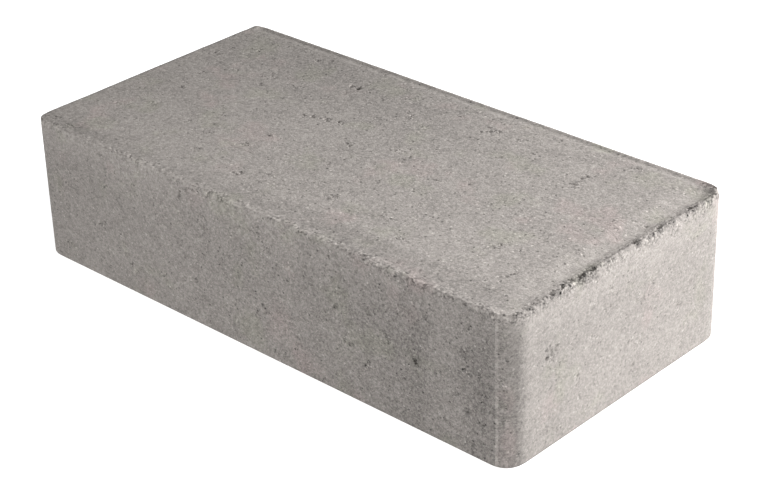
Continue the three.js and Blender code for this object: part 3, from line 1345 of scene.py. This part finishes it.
    def plain_mesh(self) -> tuple[bpy.types.Mesh, Floats]:
        """Makes the closed mesh before its relief.

        Returns:
            The mesh, in millimetres, and the depth of the crevice behind the burr at each of its points.
        """
        rings, gouge = self._rim()
        levels, around = rings.shape[:2]
        points = rings.reshape(-1, 3)
        index = np.arange(levels * around).reshape(levels, around)
        bed, bed_points = self._cap(index[0], points)
        points = np.concatenate([points, bed_points])
        top, top_points = self._cap(index[-1], points)
        points = np.concatenate([points, top_points])
        onward = np.roll(index, -1, axis=1)
        quads = [np.stack([index[:-1], onward[:-1], onward[1:], index[1:]], axis=-1)]
        for grid in (bed[:, ::-1], top):
            quads.append(np.stack([grid[:-1, :-1], grid[:-1, 1:], grid[1:, 1:], grid[1:, :-1]], axis=-1))
        mesh = bpy.data.meshes.new(self.NAME)
        mesh.from_pydata(points, [], np.concatenate([quad.reshape(-1, 4) for quad in quads]).tolist())
        gouges = np.zeros(len(points))
        gouges[: levels * around] = np.tile(gouge, levels)
        return mesh, gouges

    def build(self) -> bpy.types.Object:
        """Makes the stone's object, thinned to its number of triangles and unwrapped.

        Returns:
            The stone's object.
        """
        mesh, gouges = self.plain_mesh()
        count = len(mesh.vertices)
        points, normals = np.zeros(3 * count), np.zeros(3 * count)
        mesh.vertices.foreach_get("co", points)
        mesh.vertex_normals.foreach_get("vector", normals)
        points, normals = points.reshape(-1, 3), normals.reshape(-1, 3)
        height, marks = CastRelief(self.edge, self.reach, self.seed).apply(points, normals, gouges)
        moved = (points + normals * height[:, None]) * MILLIMETRE
        mesh.vertices.foreach_set("co", moved.ravel())
        for name, values in marks.items():
            mesh.attributes.new(name, "FLOAT", "POINT").data.foreach_set("value", values)
        mesh.update()
        stone = bpy.data.objects.new(self.NAME, mesh)
        bpy.context.scene.collection.objects.link(stone)
        self._thin(stone)
        SkinMap(self.outline, self.edge).unwrap(stone.data)
        stone.data.shade_smooth()
        return stone

    def _thin(self, stone: bpy.types.Object) -> None:
        """Collapses the mesh to its number of triangles, keeping most of them where the relief is.

        Args:
            stone: The object to thin.
        """
        collapse = stone.modifiers.new("thin", "DECIMATE")
        collapse.ratio = min(1.0, self.triangles / (2 * len(stone.data.polygons)))
        stone.modifiers.new("split", "TRIANGULATE")
        finished = stone.evaluated_get(bpy.context.evaluated_depsgraph_get())
        thinned = bpy.data.meshes.new_from_object(finished)
        stone.modifiers.clear()
        stone.data = thinned


@dataclass(frozen=True)
class SkinMap:
    """Lays the stone's skin out flat: top and bed from above, the walls unrolled, without overlaps.

    Attributes:
        outline: The stone's plan.
        edge: Section of its rim.
        rim: Inset from which the rim's own height belongs to the top. Lower down it is more, by half the
            drop.
        size: Side of the square that the pieces are laid out in.
        gap: Room between them.
        bed_scale: How much smaller the unseen bed is laid out.
    """

    outline: PlanOutline
    edge: PressedEdge
    rim: float = 0.4
    size: float = 272.0
    gap: float = 2.0
    bed_scale: float = 0.5

    STEPS: ClassVar[tuple[int, int, int]] = (200, 400, 40)

    def unwrap(self, mesh: bpy.types.Mesh) -> None:
        """Adds the layout to a mesh of triangles.

        Args:
            mesh: The finished mesh, in metres.
        """
        points = np.zeros(3 * len(mesh.vertices))
        mesh.vertices.foreach_get("co", points)
        points = points.reshape(-1, 3) / MILLIMETRE
        corners = np.zeros(len(mesh.loops), dtype=np.int64)
        mesh.loops.foreach_get("vertex_index", corners)
        faces = corners.reshape(-1, 3)
        around, starts = self._distance_round(points)
        total = starts[-1]
        middle = points[faces].mean(axis=1)
        inset = self.outline.inset(middle)
        layout = np.zeros((len(faces), 3, 2))
        first = around[faces[:, 0]][:, None]
        unrolled = first + (around[faces] - first + total / 2) % total - total / 2
        centre = unrolled.mean(axis=1) % total
        unrolled += (centre - unrolled.mean(axis=1))[:, None]
        row = self.outline.width + self.gap
        rise = self.edge.thickness + 2 * self.gap
        corners_at = (
            (0, row + 2 * rise),
            (0, row),
            (self.outline.width, row + 2 * rise),
            (0, row + rise),
        )
        for start, stop, corner in zip(starts, starts[1:], corners_at):
            chosen = (centre >= start) & (centre < stop)
            layout[chosen, :, 0] = unrolled[chosen] - start + corner[0]
            layout[chosen, :, 1] = points[faces[chosen], 2] + corner[1]
        flat = points[faces][:, :, :2] + (self.outline.length / 2, self.outline.width / 2)
        top = inset - self.rim > 0.5 * (self.edge.thickness - middle[:, 2])
        bed = (inset > self.edge.bed_arris / 2) & (middle[:, 2] < self.edge.bed_arris / 2)
        top &= ~bed
        layout[top] = flat[top]
        layout[bed] = flat[bed][:, :, ::-1] * self.bed_scale + (self.outline.length + self.gap, 0)
        uv = mesh.uv_layers.new(name="OFBake")
        uv.data.foreach_set("uv", ((layout + self.gap) / self.size).ravel())

    def _distance_round(self, points: Floats) -> tuple[Floats, Floats]:
        """Measures how far round the outline each point is.

        Args:
            points: Points in millimetres.

        Returns:
            One distance per point, from the middle of the corner at +X and -Y, and the distances of the
            middles of all corners, the first one again at the end.
        """
        short, long, corner = self.STEPS
        ring = self.outline.rings(np.zeros((1, 2 * (short + long) + 4 * corner)), self.STEPS)[0]
        strides = np.linalg.norm(np.diff(ring, axis=0, append=ring[:1]), axis=1)
        walked = np.concatenate([[0], np.cumsum(strides)])
        tree = kdtree.KDTree(len(ring))
        for index, (x, y) in enumerate(ring):
            tree.insert((x, y, 0), index)
        tree.balance()
        found = np.zeros(len(points))
        ahead = np.roll(ring, -1, axis=0) - ring
        ahead /= np.linalg.norm(ahead, axis=1)[:, None]
        for number, (x, y, _) in enumerate(points):
            nearest = tree.find((x, y, 0))[1]
            found[number] = walked[nearest] + (x - ring[nearest, 0]) * ahead[nearest, 0]
            found[number] += (y - ring[nearest, 1]) * ahead[nearest, 1]
        turns = np.cumsum([0] + 2 * [short + corner, long + corner])
        return found, walked[turns]


# Shader building


class Signal:
    """A number that varies over a surface. Arithmetic on it adds Math nodes."""

    def __init__(self, bench: "NodeBench", socket: bpy.types.NodeSocket) -> None:
        """Wraps a node's output.

        Args:
            bench: Where new nodes go.
            socket: The output to wrap.
        """
        self.bench = bench
        self.socket = socket

    def _math(self, operation: str, first: "Signal | float", second: "Signal | float") -> "Signal":
        """Adds a Math node on two values."""
        return self.bench.out("ShaderNodeMath", {"operation": operation}, {0: first, 1: second})

    def __add__(self, other: "Signal | float") -> "Signal":
        """Adds the other value."""
        return self._math("ADD", self, other)

    __radd__ = __add__

    def __sub__(self, other: "Signal | float") -> "Signal":
        """Takes the other value away."""
        return self._math("SUBTRACT", self, other)

    def __rsub__(self, other: "Signal | float") -> "Signal":
        """Takes this away from the other value."""
        return self._math("SUBTRACT", other, self)

    def __mul__(self, other: "Signal | float") -> "Signal":
        """Multiplies by the other value."""
        return self._math("MULTIPLY", self, other)

    __rmul__ = __mul__

    def __gt__(self, other: "Signal | float") -> "Signal":
        """Gives 1 where this is the larger, otherwise 0."""
        return self._math("GREATER_THAN", self, other)

    def __lt__(self, other: "Signal | float") -> "Signal":
        """Gives 1 where this is the smaller, otherwise 0."""
        return self._math("LESS_THAN", self, other)

    def step(self, low: float, high: float) -> "Signal":
        """Smooth step over a range.

        Args:
            low: Value where it is 0.
            high: Value where it is 1.

        Returns:
            The stepped value.
        """
        inputs = {"Value": self, "From Min": low, "From Max": high}
        return self.bench.out("ShaderNodeMapRange", {"interpolation_type": "SMOOTHSTEP"}, inputs)


class NodeBench:
    """Adds nodes to one tree."""

    def __init__(self, tree: bpy.types.NodeTree) -> None:
        """Starts on an empty tree.

        Args:
            tree: The tree to fill.
        """
        self.tree = tree
        tree.nodes.clear()

    def node(
        self,
        kind: str,
        settings: dict[str, Any] | None = None,
        inputs: dict[str | int, Any] | None = None,
    ) -> bpy.types.Node:
        """Adds a node.

        Args:
            kind: Blender's name for the node's type.
            settings: Its options, set before its sockets.
            inputs: Values or links for its sockets, by name, identifier or number.

        Returns:
            The node.
        """
        node = self.tree.nodes.new(kind)
        for name, value in (settings or {}).items():
            setattr(node, name, value)
        for key, value in (inputs or {}).items():
            socket = self._socket(node.inputs, key)
            if isinstance(value, Signal):
                value = value.socket
            if isinstance(value, bpy.types.NodeSocket):
                self.tree.links.new(value, socket)
            else:
                socket.default_value = value
        return node

    def out(
        self,
        kind: str,
        settings: dict[str, Any] | None = None,
        inputs: dict[str | int, Any] | None = None,
        output: str | int = 0,
    ) -> Signal:
        """Adds a node and takes a number from it.

        Args:
            kind: Blender's name for the node's type.
            settings: Its options.
            inputs: Values or links for its sockets.
            output: The output to take.

        Returns:
            The output's value.
        """
        return Signal(self, self._socket(self.node(kind, settings, inputs).outputs, output))

    @staticmethod
    def _socket(sockets: Any, key: str | int) -> bpy.types.NodeSocket:
        """Finds a socket by its identifier, its name or its number."""
        return next((s for s in sockets if s.identifier == key), None) or sockets[key]

    def mark(self, name: str) -> Signal:
        """Reads a number that the mesh carries at its points."""
        return self.out("ShaderNodeAttribute", {"attribute_name": name}, output="Fac")

    def place(self) -> bpy.types.NodeSocket:
        """Gives the place on the object, in millimetres."""
        point = self.node("ShaderNodeTexCoord").outputs["Object"]
        return self.scaled(point, (1 / MILLIMETRE,) * 3)

    def axes(self, vector: bpy.types.NodeSocket) -> tuple[Signal, Signal, Signal]:
        """Takes a vector apart into its three numbers."""
        node = self.node("ShaderNodeSeparateXYZ", {}, {0: vector})
        return tuple(Signal(self, output) for output in node.outputs)

    def vector(self, x: Signal, y: Signal, z: Signal) -> bpy.types.NodeSocket:
        """Puts three numbers together into a vector."""
        return self.node("ShaderNodeCombineXYZ", {}, {0: x, 1: y, 2: z}).outputs[0]

    def scaled(self, vector: bpy.types.NodeSocket, factors: Triple) -> bpy.types.NodeSocket:
        """Stretches a vector by a factor along each axis."""
        inputs = {0: vector, 1: factors}
        return self.node("ShaderNodeVectorMath", {"operation": "MULTIPLY"}, inputs).outputs[0]

    def noise(self, place: bpy.types.NodeSocket, size: float, detail: float = 2.0) -> Signal:
        """Cloudy noise about 0.

        Args:
            place: Where, in millimetres.
            size: Size of its swellings, in millimetres.
            detail: Number of finer layers.

        Returns:
            The noise, mostly between -0.3 and 0.3.
        """
        inputs = {"Vector": place, "Scale": 1 / size, "Detail": detail, "Roughness": 0.55}
        return self.out("ShaderNodeTexNoise", {}, inputs, "Fac") - 0.5

    def mix(self, share: Signal, first: Any, second: Any) -> bpy.types.NodeSocket:
        """Mixes two colours by a share of the second.

        Args:
            share: How much of the second, from 0 to 1.
            first: One colour, or a link to it.
            second: The other.

        Returns:
            The mixed colour.
        """
        inputs = {"Factor_Float": share, "A_Color": first, "B_Color": second}
        node = self.node("ShaderNodeMix", {"data_type": "RGBA", "clamp_factor": True}, inputs)
        return self._socket(node.outputs, "Result_Color")

    def lit(self, colour: bpy.types.NodeSocket, brightness: Signal) -> bpy.types.NodeSocket:
        """Makes a colour lighter or darker by a factor."""
        inputs = {0: colour, "Scale": brightness}
        return self.node("ShaderNodeVectorMath", {"operation": "SCALE"}, inputs).outputs[0]


# Finishes


class Grains:
    """Packed grains of about one width, with numbers drawn for each grain."""

    SHUFFLE: ClassVar[Triple] = (37.3, 17.9, 29.1)

    def __init__(self, bench: NodeBench, place: bpy.types.NodeSocket, size: float) -> None:
        """Makes the grains.

        Args:
            bench: Where the nodes go.
            place: Where, in millimetres.
            size: Typical width of a grain, in millimetres.
        """
        node = bench.node("ShaderNodeTexVoronoi", {}, {"Vector": place, "Scale": 1 / size})
        colour = bench.node("ShaderNodeSeparateColor", {}, {0: node.outputs["Color"]})
        self.bench = bench
        self.distance = Signal(bench, node.outputs["Distance"])
        self.channels = tuple(Signal(bench, colour.outputs[channel]) for channel in range(3))

    def draw(self, first: int) -> Signal:
        """Draws a fresh number for each grain from its three, which alone follow the place of its middle.

        Args:
            first: Which of the three comes first.

        Returns:
            The number, from 0 to 1.
        """
        turned = self.channels[first:] + self.channels[:first]
        one, two, three = (factor * channel for factor, channel in zip(self.SHUFFLE, turned))
        return self.bench.out("ShaderNodeMath", {"operation": "FRACT"}, {0: one + two + three})


class ConcreteLayers:
    """The layers of dust, sand and crumbs that both the colour and the height of concrete are made of."""

    RIM_HEIGHT: ClassVar[float] = 50.0
    SAND_WIDTH: ClassVar[float] = 2.1
    CRUMB_WIDTH: ClassVar[float] = 0.95

    def __init__(self, bench: NodeBench, grain: float, flatness: float) -> None:
        """Makes the layers.

        Args:
            bench: Where the nodes go.
            grain: Width of the finest grains in millimetres.
            flatness: How far the press flattened the grains.
        """
        self.bench = bench
        self.place = bench.place()
        self.x, self.y, z = bench.axes(self.place)
        self.wall, self.burr, self.smooth = (bench.mark(name) for name in ("wall", "burr", "smooth"))
        self.texture = 1 - self.smooth
        self.clouded = self.smooth * (1 - self.wall)
        raised = (z - self.RIM_HEIGHT) * (1 + flatness * self.wall)
        flattened = bench.vector(self.x, self.y, raised)
        self.fine = bench.noise(flattened, 1.4)
        self.streaks = bench.noise(bench.scaled(self.place, (1, 1, 0.15)), 1.6) * self.wall
        sandy = (3.2 * bench.noise(self.place, 6.5, 3) - 0.2).step(0, 1)
        self.sandy = (0.7 * sandy + 0.9 * bench.mark("open") + 0.5 * self.burr).step(0, 1)
        dust = Grains(bench, flattened, grain)
        sand = Grains(bench, flattened, self.SAND_WIDTH * grain)
        crumbs = Grains(bench, self.place, self.CRUMB_WIDTH)
        self.dust_distance, self.dust_shade = dust.distance, dust.draw(0)
        self.distance, self.shade, kind = sand.distance, sand.draw(0), sand.draw(1)
        self.dark_grain = (kind < 0.03 + 0.30 * self.sandy) * self.distance.step(0.65, 0.3)
        self.pale_grain = (kind > 0.975 - 0.12 * self.sandy) * self.distance.step(0.6, 0.3)
        self.crumb_distance, self.crumb_shade = crumbs.distance, crumbs.draw(0)
        self.loose = bench.mark("crumbled") * (5.0 * bench.noise(self.place, 4.5, 2) + 0.75).step(0, 1)
        # Painted shade in the gaps between the crumbs.
        self.gap_shade = self.crumb_distance.step(0.52, 0.78) * self.loose


@dataclass(frozen=True)
class Concrete:
    """Pressed concrete: cement-grey with fine sand, air pits and soft warm and cool blotches, with light and
    shade painted into its colour at pits, crevices, crumbs, crest and seams.

    Attributes:
        cement: Colour of most of the cement.
        pink: Colour where it is pinkish.
        ochre: Colour where it is yellowish.
        hollow_shade: Colour of the painted shade at the bottom of a pit, in the crevice and between crumbs.
        blotch: How far the large blotches change the brightness.
        mottle: How far the middling ones do.
        cloud: How far the fine ones do.
        streak: How far the upright streaks on the walls do.
        speckle: How far the finest grains do.
        sand: How far the sand grains do.
        pale: How much lighter a pale grain is.
        dark: How much darker a dark grain is.
        crumb: How far the crumbs of the burr differ in brightness.
        gap: How much painted shade darkens the gaps between them.
        crest: How much lighter the painted highlight on the burr's crest is; the end's outer shoulder gets
            painted shade from it.
        crease_shade: How much painted shade darkens the crease behind it.
        seam_highlight: How much lighter the painted highlight is along the ridge where two plates of the
            mould met.
        grain: Width of the finest grains in millimetres.
        flatness: How far the press flattened the grains, as the walls show.
        roughness: Roughness of the surface.
    """

    cement: Colour = (0.3052, 0.2822, 0.2640)
    pink: Colour = (0.3180, 0.2790, 0.2637)
    ochre: Colour = (0.3008, 0.2844, 0.2540)
    hollow_shade: Colour = (0.075, 0.068, 0.062)
    blotch: float = 0.20
    mottle: float = 0.28
    cloud: float = 0.55
    streak: float = 0.06
    speckle: float = 0.46
    sand: float = 0.27
    pale: float = 0.50
    dark: float = 0.40
    crumb: float = 0.50
    gap: float = 0.45
    crest: float = 0.30
    crease_shade: float = 0.14
    seam_highlight: float = 0.50
    grain: float = 0.38
    flatness: float = 0.18
    roughness: float = 0.93

    SEAM_PLACE: ClassVar[float] = 100.0

    def material(self) -> bpy.types.Material:
        """Makes the material.

        Returns:
            The material.
        """
        material = bpy.data.materials.new("pressed_concrete")
        material.use_nodes = True
        bench = NodeBench(material.node_tree)
        layers = ConcreteLayers(bench, self.grain, self.flatness)
        inputs = {"Strength": 1.0, "Distance": MILLIMETRE, "Height": self._height(layers)}
        bump = bench.node("ShaderNodeBump", {}, inputs)
        inputs = {
            "Base Color": self._colour(layers),
            "Roughness": self.roughness + 0.08 * (layers.dust_shade - 0.5),
            "Normal": bump.outputs["Normal"],
            "Specular IOR Level": 0.3,
        }
        shader = bench.node("ShaderNodeBsdfPrincipled", {}, inputs)
        bench.node("ShaderNodeOutputMaterial", {}, {"Surface": shader.outputs[0]})
        return material

    def _colour(self, layers: ConcreteLayers) -> bpy.types.NodeSocket:
        """Tints the cement, paints light and shade into it and darkens the pits, the crevice and the troughs
        between crumbs with painted shade.

        Args:
            layers: What the concrete is made of.

        Returns:
            The surface's colour.
        """
        bench, place = layers.bench, layers.place
        mirrored = bench.scaled(place, (-1, 1, 1))
        pinkness = (6.5 * bench.noise(place, 20, 3) - 0.5 + bench.mark("warmth")).step(0, 1)
        ochreness = (7.0 * bench.noise(mirrored, 16, 3) - 0.35 + 0.15 * layers.sandy).step(0, 1)
        cement = bench.mix(pinkness, (*self.cement, 1), (*self.pink, 1))
        cement = bench.mix(ochreness, cement, (*self.ochre, 1))
        # Painted shade: pits, the crevice behind the burr and the troughs between crumbs are mixed towards a
        # dark colour.
        hollow = bench.mark("pit") * (0.75 - 0.12 * layers.wall) + bench.mark("trough_shade") * 0.5
        return bench.mix(hollow.step(0, 1), bench.lit(cement, self._brightness(layers)), (*self.hollow_shade, 1))

    def _brightness(self, layers: ConcreteLayers) -> Signal:
        """Adds up all that makes the cement lighter or darker, including painted light and shade.

        Args:
            layers: What the concrete is made of.

        Returns:
            The factor on its colour.
        """
        bench, place, wall = layers.bench, layers.place, layers.wall
        smooth, clouded = layers.smooth, layers.clouded
        ragged = (4.0 * bench.noise(place, 1.9, 2) + 0.35).step(0, 1)
        return (
            1
            # Painted light and shade from the bands and blotches, besides the concrete's own tone.
            + bench.mark("tone")
            + self.blotch * bench.noise(place, 34)
            + self.mottle * (1.2 - 0.2 * wall + clouded) * bench.noise(place, 5, 3)
            + (self.cloud + 0.5 * clouded - (0.10 + 0.15 * smooth) * wall) * layers.fine
            + self.streak * layers.streaks
            + layers.texture
            * (
                self.speckle * (0.76 + 0.18 * wall) * (layers.dust_shade - 0.5)
                + (self.sand + 0.07 * wall + 0.22 * layers.sandy) * (layers.shade - 0.5)
                + self.pale * layers.pale_grain
                - self.dark * layers.dark_grain
            )
            - 0.03 * layers.sandy
            + self.crumb * layers.loose * (layers.crumb_shade - 0.5)
            # Painted shade between the crumbs.
            - self.gap * layers.gap_shade
            # Painted highlight on the burr's crest and painted shade on the end's outer shoulder.
            + self.crest * bench.mark("crest") * ragged
            # Painted shade in the crease behind the burr.
            - self.crease_shade * bench.mark("crease_shade")
            # Painted highlight along the mould seam's ridge.
            + self.seam_highlight * self._seam_highlight(layers) * (0.7 + 2.0 * bench.noise(place, 3.5))
        )

    def _height(self, layers: ConcreteLayers) -> Signal:
        """Adds up the heights of the grains and crumbs.

        Args:
            layers: What the concrete is made of.

        Returns:
            The height in millimetres.
        """
        rough = layers.texture * (1 - 0.55 * layers.wall + 0.45 * layers.burr)
        return rough * (
            0.04 * (1 - layers.dust_distance) * layers.dust_shade
            + (0.07 + 0.14 * layers.sandy) * (1 - layers.distance) * layers.shade
            + 0.12 * layers.fine
            + (0.05 + 0.22 * layers.sandy) * layers.bench.noise(layers.place, 0.8, 2)
            - 0.12 * layers.dark_grain
        ) + 0.28 * layers.loose * (1 - layers.crumb_distance)

    def _seam_highlight(self, layers: ConcreteLayers) -> Signal:
        """Painted highlight along the thin ridge on each long side, where two plates of the mould met.

        Args:
            layers: What the concrete is made of.

        Returns:
            1 on the line, fading to 0 beside it.
        """
        side = layers.bench.out("ShaderNodeMath", {"operation": "SIGN"}, {0: layers.y})
        away = layers.x * side + self.SEAM_PLACE
        return (away * away).step(0.45, 0.0) * layers.wall


@dataclass(frozen=True)
class PaleFloor:
    """Plain pale floor paint.

    Attributes:
        colour: Its colour.
        glow: How much light of its own it gives, which keeps the shadow on it faint.
    """

    colour: Colour = (0.55, 0.55, 0.55)
    glow: float = 0.95

    def material(self) -> bpy.types.Material:
        """Makes the material.

        Returns:
            The material.
        """
        material = bpy.data.materials.new("pale_floor")
        material.use_nodes = True
        bench = NodeBench(material.node_tree)
        inputs = {
            "Base Color": (*self.colour, 1),
            "Roughness": 1.0,
            "Specular IOR Level": 0.0,
            "Emission Color": (1, 1, 1, 1),
            "Emission Strength": self.glow,
        }
        shader = bench.node("ShaderNodeBsdfPrincipled", {}, inputs)
        bench.node("ShaderNodeOutputMaterial", {}, {"Surface": shader.outputs[0]})
        return material


# The studio


@dataclass(frozen=True)
class StudioFloor:
    """The floor that the stone lies on.

    Attributes:
        half_side: Half its side, in metres.
        clearance: How far it lies below the bed face, in metres.
    """

    half_side: float = 8.0
    clearance: float = 0.00002

    def build(self, finish: PaleFloor) -> bpy.types.Object:
        """Makes the floor.

        Args:
            finish: What it is painted with.

        Returns:
            The floor's object.
        """
        mesh = bpy.data.meshes.new("studio_floor")
        signs = ((-1, -1), (1, -1), (1, 1), (-1, 1))
        corners = [(x * self.half_side, y * self.half_side, -self.clearance) for x, y in signs]
        mesh.from_pydata(corners, [], [(0, 1, 2, 3)])
        mesh.materials.append(finish.material())
        floor = bpy.data.objects.new("studio_floor", mesh)
        bpy.context.scene.collection.objects.link(floor)
        return floor


@dataclass(frozen=True)
class SoftLamp:
    """A square soft lamp.

    Attributes:
        name: What it is called.
        place: Where it stands, in metres.
        side: Its side, in metres.
        watts: Its power.
        target: What it points at.
        colour: Its colour.
    """

    name: str
    place: Triple
    side: float
    watts: float
    target: Triple = (0.0, 0.0, 0.03)
    colour: Colour = (1.0, 1.0, 1.0)

    def build(self) -> bpy.types.Object:
        """Makes the lamp, unseen by the camera.

        Returns:
            The lamp's object.
        """
        data = bpy.data.lights.new(self.name, "AREA")
        data.shape = "SQUARE"
        data.size = self.side
        data.energy = self.watts
        data.color = self.colour
        lamp = bpy.data.objects.new(self.name, data)
        lamp.location = self.place
        direction = Vector(self.target) - Vector(self.place)
        lamp.rotation_mode = "QUATERNION"
        lamp.rotation_quaternion = direction.to_track_quat("-Z", "Y")
        lamp.visible_camera = False
        bpy.context.scene.collection.objects.link(lamp)
        return lamp


@dataclass(frozen=True)
class Studio:
    """Soft studio light: a low lamp behind to the right, one overhead, a weak fill and an even glow.

    Attributes:
        lamps: The lamps.
        surround: Brightness of the surroundings.
    """

    lamps: tuple[SoftLamp, ...] = (
        SoftLamp("low_side_lamp", (0.388, 0.598, 0.232), 0.22, 7.3),
        SoftLamp("overhead_lamp", (0.22, -0.03, 0.38), 0.20, 1.38),
        SoftLamp("front_fill", (-0.342, -0.593, 0.146), 0.30, 0.60),
    )
    surround: Colour = (0.19, 0.19, 0.19)

    def build(self) -> None:
        """Makes the lamps and the surroundings."""
        for lamp in self.lamps:
            lamp.build()
        world = bpy.data.worlds.new("studio_surround")
        world.use_nodes = True
        bench = NodeBench(world.node_tree)
        background = bench.node("ShaderNodeBackground", {}, {"Color": (*self.surround, 1), "Strength": 1.0})
        bench.node("ShaderNodeOutputWorld", {}, {"Surface": background.outputs[0]})
        bpy.context.scene.world = world
        bpy.context.scene.view_settings.view_transform = "Standard"


@dataclass(frozen=True)
class Viewpoint:
    """The camera: where it stands round the stone and how it is tilted.

    Attributes:
        azimuth: Degrees round from -Y towards +X.
        elevation: Degrees above the horizon.
        roll: Degrees that its frame is turned anticlockwise.
        distance: Metres to the target.
        target: What it looks at, in metres.
        lens: Focal length in millimetres.
    """

    azimuth: float = 43.848
    elevation: float = 28.592
    roll: float = -1.777
    distance: float = 0.6650
    target: Triple = (0.015747, -0.010473, 0.025425)
    lens: float = 97.98

    def build(self) -> bpy.types.Object:
        """Makes the camera and puts it in charge.

        Returns:
            The camera's object.
        """
        turn, lift, tilt = (math.radians(angle) for angle in (self.azimuth, self.elevation, self.roll))
        back = Vector((math.sin(turn) * math.cos(lift), -math.cos(turn) * math.cos(lift), math.sin(lift)))
        right = Vector((math.cos(turn), math.sin(turn), 0))
        up = back.cross(right)
        across = math.cos(tilt) * right + math.sin(tilt) * up
        upward = math.cos(tilt) * up - math.sin(tilt) * right
        data = bpy.data.cameras.new("camera")
        data.lens = self.lens
        camera = bpy.data.objects.new("camera", data)
        camera.matrix_world = Matrix.Translation(Vector(self.target) + self.distance * back) @ Matrix(
            (across, upward, back)
        ).transposed().to_4x4()
        bpy.context.scene.collection.objects.link(camera)
        bpy.context.scene.camera = camera
        return camera


def main() -> None:
    """Builds the stone and the studio round it."""
    logging.basicConfig(level=logging.INFO, format="%(name)s: %(message)s")
    body = StoneBody()
    stone = body.build()
    stone.data.materials.append(Concrete().material())
    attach(stone, "root")
    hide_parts("paving_stone")
    log.info("%s: %d triangles", stone.name, len(stone.data.polygons))
    floor = StudioFloor().build(PaleFloor())
    log.info("%s: the stage", floor.name)
    studio = Studio()
    studio.build()
    log.info("studio: %d lamps", len(studio.lamps))
    camera = Viewpoint().build()
    log.info("%s: lens of %.2f mm", camera.name, camera.data.lens)


if __name__ == "__main__":
    main()
